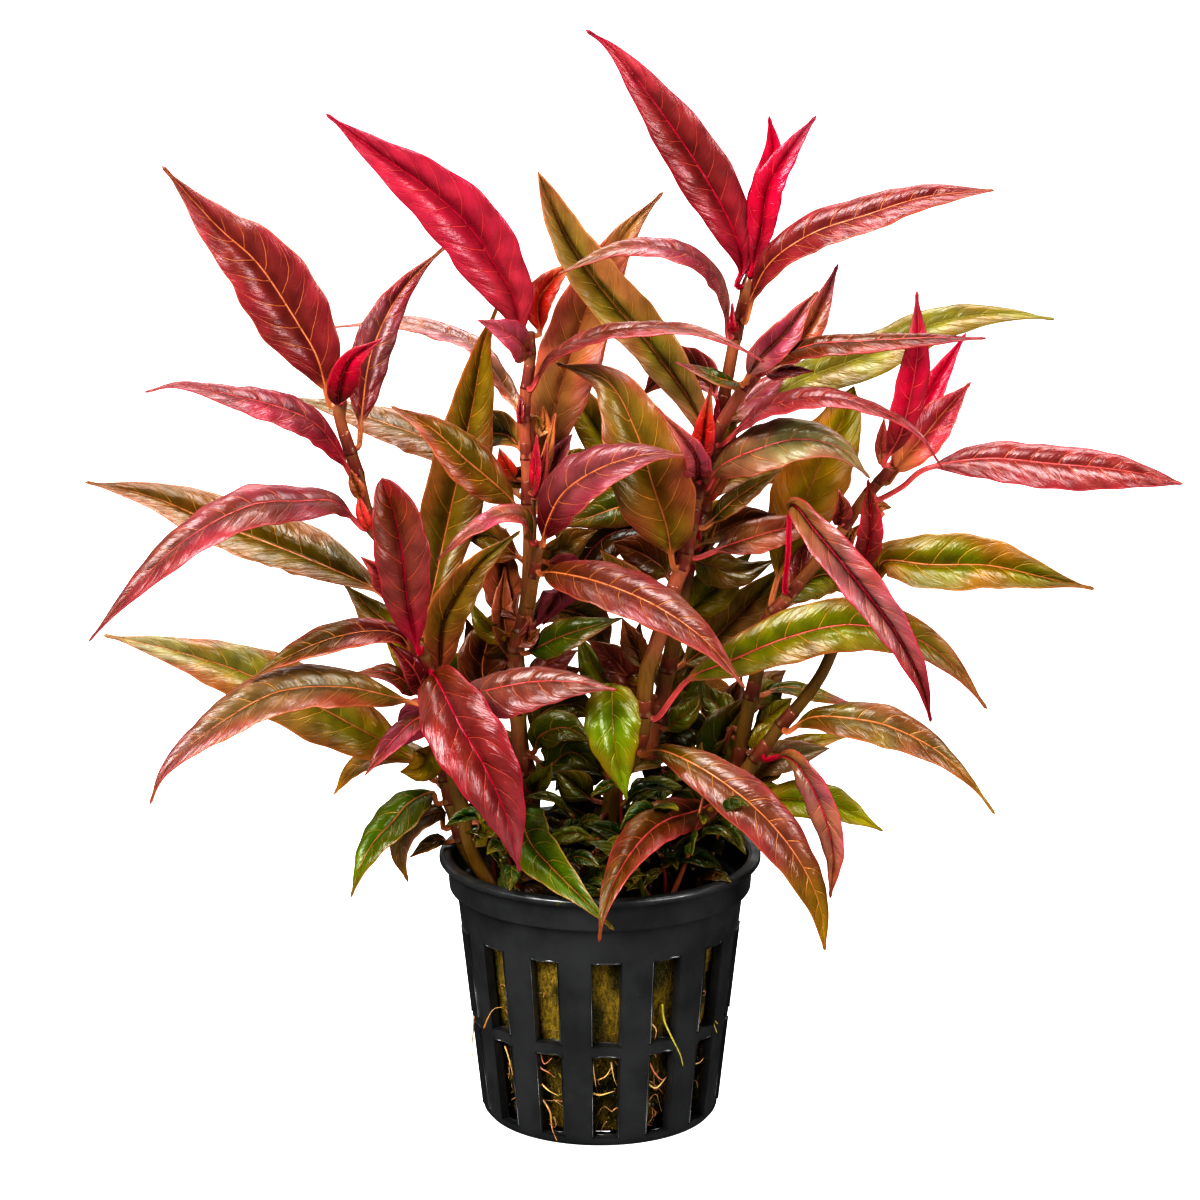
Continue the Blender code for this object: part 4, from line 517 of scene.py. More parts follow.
# Leaves seen between the others low in the plant: stem, place on it, width, stalk, tones and way
INNER_LEAVES = [Inner(*row) for row in (
    ("stem_f", (650, 672), 5.6, 2, "khaki", "rust", [(640, 655, 4), (634, 640, 5), (622, 618, 5)]),
    ("stem_f", (646, 690), 5.4, 2, "khaki", "bronze", [(640, 670, 8), (636, 650, 9), (640, 622, 9)]),
    ("stem_c", (519, 680), 6.0, 2, "khaki", "crimson", [(536, 672, 8), (552, 662, 9), (578, 650, 9)]),
    ("stem_c", (520, 690), 5.0, 2, "khaki", "bronze", [(536, 684, 8), (556, 678, 9), (582, 668, 9)]),
    ("stem_c", (524, 480), 4.6, 2, "rust", "scarlet", [(516, 480, 5), (508, 468, 5), (499, 448, 5)]),
    ("stem_c", (527, 470), 3.4, 1, "gold", "gold", [(520, 482, 6), (514, 478, 6), (511, 470, 6)]),
    ("stem_c", (526, 492), 5.4, 3, "olive", "dusty", [(542, 482, 5), (556, 462, 6), (572, 434, 6)]),
    ("stem_c", (524, 418), 1.8, 1, "hot", "magenta", [(521, 414, 1), (521, 406, 1), (521, 396, 1)]),
    ("stem_c", (530, 492), 2.4, 1, "magenta", "hot", [(535, 480, 0), (536, 462, 0), (537, 434, 0)]),
    ("stem_c", (532, 494), 2.0, 1, "magenta", "coral", [(539, 486, 1), (544, 466, 1), (548, 440, 1)]),
    ("stem_c", (533, 494), 2.2, 1, "coral", "orange", [(541, 480, 2), (548, 452, 3), (556, 412, 3)]),
    ("stem_c", (530, 418), 2.4, 1, "gold", "orange", [(543, 432, 4), (545, 420, 4), (543, 405, 4)]),
    ("stem_e", (712, 480), 3.0, 2, "coral", "scarlet", [(706, 456, 8), (702, 436, 8), (697, 392, 8)]),
    ("stem_e", (710, 480), 2.6, 1, "gold", "leaf", [(702, 462, 9), (700, 448, 9), (701, 410, 9)]),
    ("stem_e", (715, 470), 2.4, 1, "magenta", "hot", [(714, 442, 7), (718, 424, 6), (717, 396, 6)]),
    ("stem_e", (706, 490), 2.8, 2, "ruby", "magenta", [(699, 476, 8), (692, 462, 8), (682, 440, 8)]),
    ("stem_e", (720, 470), 3.0, 2, "coral", "gold", [(726, 450, 6), (729, 436, 5), (736, 400, 5)]),
    ("stem_e", (718, 494), 2.6, 1, "scarlet", "orange", [(722, 478, 5), (724, 466, 4), (728, 440, 4)]),
    ("stem_e", (690, 566), 2.8, 1, "ruby", "magenta", [(694, 548, 6), (696, 536, 5), (702, 512, 5)]),
    ("stem_e", (684, 566), 2.6, 1, "gold", "leaf", [(676, 548, 8), (674, 536, 8), (672, 508, 8)]),
    ("stem_e", (680, 570), 3.4, 2, "leaf", "lime", [(668, 552, 9), (664, 540, 9), (662, 512, 9)]),
    ("stem_e", (682, 560), 4.6, 3, "khaki", "gold", [(660, 548, 12), (652, 538, 12), (640, 520, 12)]),
    ("stem_e", (698, 560), 2.6, 1, "orange", "gold", [(706, 544, 6), (710, 532, 6), (722, 512, 6)]),
    ("stem_e", (696, 545), 5.0, 2, "leaf", "lime", [(712, 528, 12), (722, 512, 13), (752, 512, 14)]),
    ("stem_e", (737, 320), 2.0, 1, "magenta", "hot", [(733, 328, 4), (732, 318, 4), (732, 303, 4)]),
    ("stem_h", (884, 470), 3.4, 2, "orange", "coral", [(882, 456, 2), (882, 440, 2), (884, 418, 2)]),
    ("stem_h", (826, 568), 3.0, 1, "orange", "gold", [(838, 548, 2), (843, 536, 2), (850, 508, 2)]),
    ("stem_h", (838, 548), 3.0, 1, "rust", "orange", [(848, 544, 3), (852, 536, 3), (860, 524, 3)]),
    ("stem_h", (868, 520), 3.2, 1, "coral", "orange", [(876, 512, 2), (880, 506, 2), (892, 508, 2)]),
    ("stem_a", (363, 490), 2.8, 1, "orange", "rust", [(358, 488, -1), (354, 480, -1), (351, 470, -2)]),
    ("stem_a", (372, 524), 2.4, 1, "scarlet", "coral", [(362, 512, 0), (360, 502, 0), (358, 494, 0)]),
    ("stem_h", (742, 712), 6.0, 3, "khaki", "copper", [(756, 700, 11), (768, 684, 12), (786, 670, 12)]),
    ("stem_h", (740, 735), 5.6, 3, "gold", "lime", [(758, 724, 8), (772, 714, 8), (792, 698, 8)]),
    ("stem_h", (735, 772), 6.0, 3, "gold", "straw", [(762, 764, 4), (786, 756, 4), (830, 748, 4)]),
    ("stem_b", (440, 720), 7.0, 2, "ruby", "dusty", [(424, 714, -4), (412, 728, -5), (404, 746, -5)]),
    ("stem_b", (446, 742), 7.4, 3, "gold", "lime", [(430, 752, -2), (420, 768, -3), (400, 772, -3)]),
    ("stem_c", (522, 612), 4.4, 2, "crimson", "khaki", [(528, 640, 2), (534, 636, 1), (540, 628, 1)]),
    ("stem_c", (519, 640), 5.0, 2, "gold", "leaf", [(496, 632, 10), (484, 622, 10), (470, 600, 11)]),
    ("stem_c", (523, 625), 8.0, 2, "bronze", "rust", [(508, 600, 12), (503, 560, 13), (506, 528, 12)]),
    ("stem_d", (538, 556), 8.0, 2, "khaki", "olive", [(556, 552, 6), (578, 538, 8), (598, 530, 8)]),
    ("stem_d", (537, 566), 8.0, 3, "crimson", "dusty", [(562, 575, 6), (552, 600, 9), (535, 628, 10)]),
    ("stem_f", (676, 585), 9.0, 3, "khaki", "bronze", [(662, 566, 6), (640, 552, 8), (612, 542, 8)]),
    ("stem_f", (688, 548), 8.0, 3, "olive", "bronze", [(712, 536, 8), (742, 522, 10), (776, 514, 10)]),
    ("stem_f", (684, 560), 7.0, 3, "moss", "olive", [(712, 566, 10), (742, 572, 12), (775, 560, 13)]),
    ("stem_f", (722, 424), 7.4, 3, "rust", "dusty", [(744, 406, 8), (764, 388, 9), (790, 368, 9)]),
    ("stem_c", (520, 560), 7.4, 3, "bronze", "olive", [(505, 545, 10), (488, 536, 12), (462, 536, 13)]),
    ("stem_c", (518, 640), 8.4, 3, "khaki", "bronze", [(500, 668, 14), (478, 650, 18), (466, 618, 20)]),
    ("stem_e", (640, 690), 6.4, 3, "khaki", "crimson", [(628, 676, 8), (610, 656, 9), (588, 640, 9)]),
    ("stem_e", (646, 700), 6.6, 3, "moss", "leaf", [(612, 690, 14), (592, 664, 16), (578, 634, 17)]),
    ("stem_e", (652, 690), 6.0, 3, "olive", "lime", [(660, 684, 16), (672, 664, 18), (680, 640, 19)]),
    ("stem_e", (650, 706), 4.6, 2, "leaf", "lime", [(664, 700, 14), (672, 688, 15), (676, 668, 15)]),
    ("stem_e", (655, 715), 6.4, 3, "moss", "leaf", [(682, 700, 18), (692, 676, 20), (702, 648, 21)]),
    ("stem_e", (656, 722), 4.4, 2, "leaf", "leaf", [(680, 718, 8), (692, 708, 8), (700, 694, 8)]),
    ("stem_h", (742, 740), 6.0, 3, "moss", "leaf", [(722, 712, 10), (712, 700, 12), (704, 682, 13)]),
    ("stem_h", (742, 736), 9.4, 4, "khaki", "moss", [(720, 760, 9), (728, 730, 9), (753, 694, 9)]),
    ("stem_h", (748, 712), 7.0, 3, "olive", "leaf", [(758, 706, 9), (768, 694, 10), (784, 686, 10)]),
    ("stem_h", (740, 752), 4.4, 2, "leaf", "lime", [(754, 744, 5), (762, 732, 5), (774, 722, 5)]),
    ("stem_h", (736, 770), 6.0, 3, "olive", "lime", [(760, 776, 6), (772, 768, 6), (786, 752, 6)]),
    ("stem_h", (738, 762), 7.4, 3, "rust", "bronze", [(728, 730, 12), (732, 704, 14), (742, 676, 15)]),
    ("stem_c", (520, 750), 6.8, 3, "moss", "moss", [(540, 736, 4), (566, 728, 2), (592, 742, 2)]),
    ("stem_c", (521, 742), 7.4, 3, "khaki", "moss", [(544, 712, 12), (572, 704, 14), (600, 716, 15)]),
    ("stem_c", (522, 760), 7.6, 3, "moss", "moss", [(546, 768, 4), (572, 752, 4), (600, 772, 4)]),
    ("stem_c", (530, 790), 4.6, 2, "leaf", "leaf", [(540, 782, 0), (546, 776, -1), (552, 762, -2)]),
    ("stem_f", (612, 805), 6.8, 3, "moss", "leaf", [(588, 796, 2), (572, 782, 2), (556, 770, 2)]),
    ("stem_f", (614, 800), 6.4, 3, "moss", "moss", [(592, 816, 4), (568, 806, 4), (548, 812, 4)]),
    ("stem_f", (610, 812), 6.0, 3, "moss", "leaf", [(584, 842, -6), (572, 850, -9), (560, 852, -11)]),
    ("stem_f", (616, 790), 9.0, 4, "khaki", "khaki", [(596, 762, 10), (578, 744, 12), (560, 716, 13)]),
    ("stem_f", (618, 784), 9.0, 4, "moss", "moss", [(604, 744, 14), (600, 716, 16), (606, 690, 17)]),
    ("stem_f", (618, 784), 9.0, 4, "khaki", "moss", [(640, 762, 12), (662, 748, 14), (686, 756, 15)]),
    ("stem_e", (650, 751), 8.6, 3, "moss", "moss", [(672, 734, 15), (694, 730, 16), (712, 744, 16)]),
    ("stem_e", (650, 765), 8.0, 3, "moss", "leaf", [(668, 772, 8), (684, 768, 6), (700, 780, 5)]),
    ("stem_e", (652, 772), 8.0, 3, "khaki", "moss", [(680, 786, 14), (700, 776, 15), (722, 784, 15)]),
    ("stem_g", (722, 814), 5.0, 2, "moss", "leaf", [(704, 782, 3), (698, 764, 3), (702, 742, 3)]),
    ("stem_g", (719, 820), 6.6, 3, "moss", "moss", [(700, 812, 4), (684, 802, 5), (664, 806, 5)]),
    ("stem_g", (719, 820), 7.0, 3, "moss", "bronze", [(706, 838, -3), (718, 822, -5), (738, 830, -6)]),
    ("stem_g", (718, 822), 6.0, 3, "moss", "leaf", [(700, 848, -6), (684, 846, -10), (672, 858, -12)]),
    ("stem_g", (733, 795), 5.6, 2, "olive", "lime", [(752, 800, 4), (764, 790, 5), (780, 786, 5)]),
    ("stem_a", (455, 812), 6.0, 3, "moss", "leaf", [(476, 816, 10), (492, 806, 12), (512, 812, 13)]),
    ("stem_a", (452, 800), 7.0, 3, "khaki", "moss", [(474, 782, 12), (494, 770, 14), (514, 782, 15)]),
    ("stem_b", (466, 824), 5.6, 2, "moss", "leaf", [(482, 836, -4), (494, 830, -6), (510, 840, -7)]),
    ("stem_a", (404, 622), 5.4, 2, "leaf", "lime", [(420, 616, 12), (430, 604, 14), (438, 586, 15)]),
    ("stem_a", (410, 636), 6.0, 3, "leaf", "lime", [(434, 640, 12), (452, 626, 14), (466, 604, 15)]),
    ("stem_a", (424, 680), 5.0, 2, "leaf", "lime", [(404, 650, 8), (392, 636, 9), (376, 626, 9)]),
    ("stem_h", (792, 592), 4.6, 1, "rust", "crimson", [(800, 574, 6), (802, 560, 7), (808, 540, 7)]),
)]


# Curves

def sighted(px, py, depth):
    """The point, depth millimetres behind the pot's axis, that the viewer sees at a pixel."""
    ray = sight_ray(px, py)
    return EYE_MM + ray * ((depth - EYE_MM[1]) / ray[1])


def sight_ray(px, py):
    """The way in which the viewer looks at a pixel."""
    right = (px - MIDDLE_PX) / FOCAL_PX
    up = (MIDDLE_PX - py) / FOCAL_PX
    return np.array([right, cos(PITCH) + up * sin(PITCH), up * cos(PITCH) - sin(PITCH)])


def pixels_of(points):
    """The pixels where the viewer sees points, the reverse of sighted."""
    away = points - EYE_MM
    ahead = away[:, 1] * cos(PITCH) - away[:, 2] * sin(PITCH)
    above = away[:, 1] * sin(PITCH) + away[:, 2] * cos(PITCH)
    return np.stack([MIDDLE_PX + FOCAL_PX * away[:, 0] / ahead, MIDDLE_PX - FOCAL_PX * above / ahead], 1)


def smooth(points, per_span=8):
    """Points along a smooth curve through the given ones."""
    ends = [2 * points[0] - points[1], *points, 2 * points[-1] - points[-2]]
    line = []
    for a, b, c, d in zip(ends, ends[1:], ends[2:], ends[3:]):
        for step in range(per_span):
            t = step / per_span
            line.append(0.5 * (2 * b + (c - a) * t + (2 * a - 5 * b + 4 * c - d) * t ** 2
                               + (3 * b - a - 3 * c + d) * t ** 3))
    return np.array([*line, points[-1]])


def lengths_along(line):
    """How far along a line each of its points is."""
    return np.concatenate([[0.0], np.cumsum(np.linalg.norm(np.diff(line, axis=0), axis=1))])


def at_lengths(line, wanted):
    """The points at given distances along a line."""
    lengths = lengths_along(line)
    return np.stack([np.interp(wanted, lengths, line[:, axis]) for axis in range(3)], 1)


def unit(vectors):
    """Directions, made one long."""
    return vectors / np.maximum(np.linalg.norm(vectors, axis=-1, keepdims=True), 1e-9)


def tangents(points):
    """The direction of a line at each of its points."""
    return unit(np.gradient(points, axis=0))


def eased(low, high, value):
    """Nought below low, one above high, smooth between."""
    t = np.clip((value - low) / (high - low), 0, 1)
    return t * t * (3 - 2 * t)


def blend(a, b, share):
    """Colours or vectors from a to b by a share for each row."""
    return a + (b - a) * np.asarray(share)[..., None]


def hump(value, width):
    """One where a value is nought, falling away on both sides over about a width."""
    return np.exp(-(value / width) ** 2)


def waves(points, size, seed, count=7):
    """Soft noise between about -1 and 1, its features about size millimetres wide."""
    rng = np.random.default_rng(seed)
    total = np.zeros(len(points))
    for _ in range(count):
        way = unit(rng.normal(size=3)) * 2 * pi / (size * rng.uniform(1.2, 2.6))
        total += np.sin(points @ way + rng.uniform(0, 2 * pi))
    return total / np.sqrt(count)


# Meshes

def make_piece(name, verts, faces, material, slot, **layers):
    """A smooth mesh that rides on the plant, from millimetre points, faces and named values per point."""
    mesh = bpy.data.meshes.new(name)
    sizes = np.fromiter((len(face) for face in faces), np.int32, len(faces))
    corners = np.concatenate([np.asarray(face, np.int32) for face in faces])
    mesh.vertices.add(len(verts))
    mesh.vertices.foreach_set("co", (np.asarray(verts) * MM).astype(np.float32).ravel())
    mesh.loops.add(len(corners))
    mesh.loops.foreach_set("vertex_index", corners)
    mesh.polygons.add(len(faces))
    mesh.polygons.foreach_set("loop_start", np.concatenate([[0], np.cumsum(sizes)[:-1]]).astype(np.int32))
    mesh.polygons.foreach_set("use_smooth", np.ones(len(faces), bool))
    for layer, values in layers.items():
        values = np.asarray(values, np.float32)
        kind, key = ("FLOAT_VECTOR", "vector") if values.ndim == 2 else ("FLOAT", "value")
        mesh.attributes.new(layer, kind, "POINT").data.foreach_set(key, values.ravel())
    mesh.update(calc_edges=True)
    mesh.validate()
    mesh.materials.append(material)
    piece = bpy.data.objects.new(name, mesh)
    bpy.context.scene.collection.objects.link(piece)
    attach(piece, "root")
    return piece


def tube(line, radii, around):
    """The points of a tube round a line, around of them to a ring. radii has one for each ring or point."""
    ways = tangents(line)
    side = np.cross(ways[0], FIRST_SIDE)
    sides = []
    for way in ways:
        side = unit(side - way * (side @ way))
        sides.append(side)
    sides = np.array(sides)
    over = np.cross(ways, sides)
    angles = 2 * pi * np.arange(around) / around
    radii = np.broadcast_to(radii[:, None] if np.ndim(radii) == 1 else radii, (len(line), around))
    outward = sides[:, None] * np.cos(angles)[:, None] + over[:, None] * np.sin(angles)[:, None]
    return (line[:, None] + outward * radii[..., None]).reshape(-1, 3)


def side_faces(rings, around):
    """The faces between the rings of a tube."""
    ring, corner = np.meshgrid(np.arange(rings - 1), np.arange(around), indexing="ij")
    low, high = ring * around, (ring + 1) * around
    after = (corner + 1) % around
    return np.stack([low + corner, low + after, high + after, high + corner], -1).reshape(-1, 4).tolist()


def ring_faces(rings, around):
    """The faces of a closed tube, an end closed by quads across or, where around is odd, by one face."""
    faces = side_faces(rings, around)
    last = (rings - 1) * around
    if around % 2:
        return faces + [list(range(around))[::-1], list(range(last, last + around))]
    for base, turn in ((0, -1), (last, 1)):
        for k in range(around // 2 - 1):
            faces.append([base + k, base + k + 1, base + around - 2 - k, base + around - 1 - k][::turn])
    return faces


class Bunch:
    """Gathers several closed shapes into one mesh."""

    def __init__(self):
        self.verts, self.faces, self.layers, self.count = [], [], {}, 0

    def add(self, verts, faces, **layers):
        self.faces += [[corner + self.count for corner in face] for face in faces]
        self.verts.append(verts)
        for name, values in layers.items():
            self.layers.setdefault(name, []).append(values)
        self.count += len(verts)

    def piece(self, name, material, slot):
        layers = {key: np.concatenate(values) for key, values in self.layers.items()}
        return make_piece(name, np.concatenate(self.verts), self.faces, material, slot, **layers)


# Stems

def is_side_shoot(name):
    """Whether a stem grows from another one, and not from the plug."""
    return isinstance(STEMS[name].root[0], str)


def stem_line(name):
    """The middle line of a stem, from its root to its tip."""
    stem = STEMS[name]
    route = [sighted(*place) for place in stem.route]
    if is_side_shoot(name):
        return smooth([foot_on(*stem.root, route[0], stem.thick[0] / 2), *route])
    x, y = stem.root
    planted = [np.array([x, y, PLUG_CROWN - SOCKET_DEPTH * share]) for share in (1.0, 0.5, 0.0)]
    return smooth([*planted, *route])


def nearest_on(name, pixel):
    """Where the viewer sees a stem's middle line nearest to a pixel: point, distance and direction."""
    line = stem_line(name)
    best = int(np.argmin(((pixels_of(line) - np.array(pixel)) ** 2).sum(1)))
    last = len(line) - 1
    way = unit(line[min(best + 1, last)] - line[max(best - 1, 0)])
    return line[best], lengths_along(line)[best], way


def stem_radius(name, length, total):
    """Half a stem's thickness between its joints."""
    base, tip = STEMS[name].thick
    return (base + (tip - base) * length / total) / 2


def skin_radius(name, length, total):
    """The same for its round skin, which is slimmer than its faceted solid."""
    return SLIMNESS.get(name, USUAL_SLIMNESS) * stem_radius(name, length, total)


def foot_on(name, pixel, towards, half):
    """Where a leaf or a side shoot of half its thickness starts, off the stem's skin by GAP."""
    middle, length, way = nearest_on(name, pixel)
    total = lengths_along(stem_line(name))[-1]
    reach = stem_radius(name, length, total) * JOINT_SWELL + GAP + half
    side = towards - middle
    return middle + unit(side - way * (side @ way)) * reach


def joints_of(name):
    """The distances along a stem at which its leaves grow, those close together taken as one."""
    feet = sorted(nearest_on(name, leaf.foot)[1] for leaf in [*LEAVES.values(), *SMALL_LEAVES.values()]
                  if leaf.stem == name)
    joints = []
    for foot in feet:
        if not joints or foot - joints[-1] > JOINT_SPACING:
            joints.append(foot)
    return joints


def stem_tones(verts, height, above, below):
    """The tones of a stem's rings, by their height and how far each is from the joints under and over it."""
    tint = blend(TONES["flesh"] * 0.85, TONES["olive"] * 0.8, eased(118, 72, height))
    tint = blend(tint, TONES["tan"] * 0.85, np.exp(-below / 4.0) * 0.45)
    tint = blend(tint, TONES["brown"], np.exp(-np.clip(above, 0, FAR) / 3.2) * 0.85)
    tint = blend(tint, TONES["straw"], hump(above - 0.1, 0.3) * 0.5)
    tint = blend(tint, TONES["brown"] * 0.6, eased(46, 39, height) * 0.8)
    tint = np.repeat(tint, STEM_AROUND, 0)
    tint = tint * (1 + 0.16 * waves(verts * [1, 1, 0.15], 2.0, 3))[:, None]
    patches = eased(0.2, 1.2, waves(verts * [1, 1, 0.5], 9, 12))
    return np.clip(blend(tint, TONES["coral"], 0.25 * patches), 0, 1)


def stem_skin(name, line, total, joints):
    """A stem's points, ring by ring, and their tones, with swollen joints and soft ridges."""
    along = np.arange(0, total + STEM_STEP, STEM_STEP)
    points = at_lengths(line, along)
    radius = skin_radius(name, along, total)
    above, below = np.full(len(along), FAR), np.full(len(along), FAR)
    for joint in joints:
        off = along - joint
        radius = radius * (1 + 0.17 * hump(off + 0.4, 1.1) - 0.05 * hump(off - 1.1, 0.5))
        above = np.where((off >= -0.2) & (off < above), off, above)
        below = np.where((off < -0.2) & (-off < below), -off, below)
    tip = np.sqrt(np.clip((total - along) / TIP_LENGTH, 0.02, 1))
    radius = radius * np.where(along > total - TIP_LENGTH, tip, 1)
    angles = np.arange(STEM_AROUND) * 2 * pi / STEM_AROUND
    ridges = 1 + 0.035 * np.sin(5 * angles + 1.3)[None] + 0.02 * np.sin(3 * angles)[None]
    verts = tube(points, radius[:, None] * ridges, STEM_AROUND)
    return verts, stem_tones(verts, points[:, 2], above, below)


def sheath(name, line, joint, total, rng):
    """The papery sheath above a joint, open at both ends with a torn top: points, faces and tones."""
    reach = SHEATH_LENGTH * rng.uniform(0.7, 1.15)
    rows = at_lengths(line, joint + np.linspace(SHEATH_START, reach, SHEATH_ROWS))
    flare = np.interp(np.linspace(0, 1, SHEATH_ROWS), [0, 0.12, 0.3, 1], [1.18, 1.1, 1.04, 1.01])
    spread = skin_radius(name, joint, total) * flare
    outer = tube(rows, spread + 0.04, STEM_AROUND)
    inner = tube(rows, spread - 0.06, STEM_AROUND)[::-1]
    tears = rng.uniform(-0.5, 0.2, STEM_AROUND)
    outer[-STEM_AROUND:] += tangents(rows)[-1] * tears[:, None]
    inner[:STEM_AROUND] += tangents(rows)[-1] * tears[::-1][:, None]

    loop = 2 * SHEATH_ROWS
    last = (loop - 1) * STEM_AROUND
    faces = side_faces(loop, STEM_AROUND)
    for k in range(STEM_AROUND):
        after = (k + 1) % STEM_AROUND
        faces.append([after, k, last + k, last + after])
    colour = blend(TONES["brown"], TONES["crimson"] * 0.8, eased(60, 130, rows[0][2]))
    paler = np.linspace(0, 0.45, SHEATH_ROWS)
    tint = blend(np.broadcast_to(colour, (loop, 3)), TONES["flesh"], np.r_[paler, paler[::-1]])
    return np.concatenate([outer, inner]), faces, np.repeat(tint, STEM_AROUND, 0)


def fine_stem(name, material):
    """A stem with its swollen joints and the papery sheath above each."""
    line = stem_line(name)
    total = lengths_along(line)[-1]
    if is_side_shoot(name):
        line = np.vstack([line[0] - unit(line[1] - line[0]) * SHOOT_SUNK, line])
    joints = joints_of(name)
    verts, tint = stem_skin(name, line, total, joints)
    bunch = Bunch()
    bunch.add(verts, ring_faces(len(verts) // STEM_AROUND, STEM_AROUND), tint=tint)
    rng = np.random.default_rng(sum(map(ord, name)))
    for joint in joints:
        if LOWEST_SHEATH <= joint <= total - 3:
            verts, faces, tint = sheath(name, line, joint, total, rng)
            bunch.add(verts, faces, tint=tint)
    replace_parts(bunch.piece(name + "_skin", material, "stem_skin"), name)


# Leaves

def half_widths(along, width, widest):
    """Half the width of a blade, along from its base at 0 to its tip at 1."""
    share = np.clip(along, 0, 1)
    taper = ROUNDNESS * (1 - widest) / widest
    rise = (share / widest) ** ROUNDNESS * ((1 - share) / (1 - widest)) ** taper
    return np.maximum(width / 2 * rise, STALK_HALF * (1 - share) ** 2)


def steadied(vectors, reach):
    """Directions evened out along a line, so that a blade doesn't twist at once."""
    window = np.hanning(2 * reach + 3)[1:-1]
    padded = np.vstack([np.repeat(vectors[:1], reach, 0), vectors, np.repeat(vectors[-1:], reach, 0)])
    return unit(np.stack([np.convolve(padded[:, i], window / window.sum(), "valid") for i in range(3)], 1))


def turned_halves(points, leaf, side, seen_from):
    """The way toward the edge and the way off the face, for the points across a blade's two halves."""
    ways = tangents(points)
    view = unit(seen_from - points)
    over = steadied(view - ways * (view * ways).sum(1)[:, None], max(1, len(points) // 14))
    over = unit(over - ways * (over * ways).sum(1)[:, None])
    out = np.cross(ways, over)
    edgeward, faceward = [], []
    for tilt, sign in ((radians(leaf.right), 1), (radians(leaf.left), -1)):
        edgeward.append((sign * out * cos(tilt) + over * sin(tilt))[:, None])
        faceward.append((-sign * out * sin(tilt) + over * cos(tilt))[:, None])
    is_right = (side > 0)[..., None]
    mean = unit(faceward[0] + faceward[1])
    face = np.where(is_right, *faceward)
    crease = eased(0.0, 0.35, np.abs(side))[..., None]
    return np.where(is_right, *edgeward), unit(mean + (face - mean) * crease)


def blade_tones(spine, leaf, look, share, size, seed):
    """The tones over a blade's upper side, patchy, and warmer and redder toward the edges."""
    along = np.clip(share, 0, 1)
    tint = blend(TONES[look.base], TONES[look.body], eased(0.08, 0.42, along))
    tint = blend(tint, TONES[look.tip], eased(0.55, 0.95, along))[:, None]
    spots = waves(spine.reshape(-1, 3), SPOT_SIZE, seed + 1).reshape(spine.shape[:2])
    fine = waves(spine.reshape(-1, 3), FINE_SIZE, seed + 2).reshape(spine.shape[:2])
    tint = blend(np.broadcast_to(tint, spine.shape), TONES[look.base], eased(0.1, 1.3, spots) * 0.45)
    tint = blend(tint, TONES[look.tip], eased(0.3, 1.5, -spots) * 0.35)
    shift = FLUSH * FLUSH_OF_HUE.get(leaf.hue, USUAL_FLUSH)
    tint = tint * blend(1 - shift, 1 + shift, eased(0.05, 0.95, size + 0.4 * spots))
    tint = blend(tint, TONES[look.margin], eased(0.6, 1.1, size + 0.25 * spots) * 0.35)
    return tint * (0.87 + 0.10 * fine)[..., None]


def wrapped(upper, lower=None):
    """The values of a blade's rings: across its upper side and back across its lower side."""
    return np.concatenate([upper, (upper if lower is None else lower)[:, ::-1]], 1)


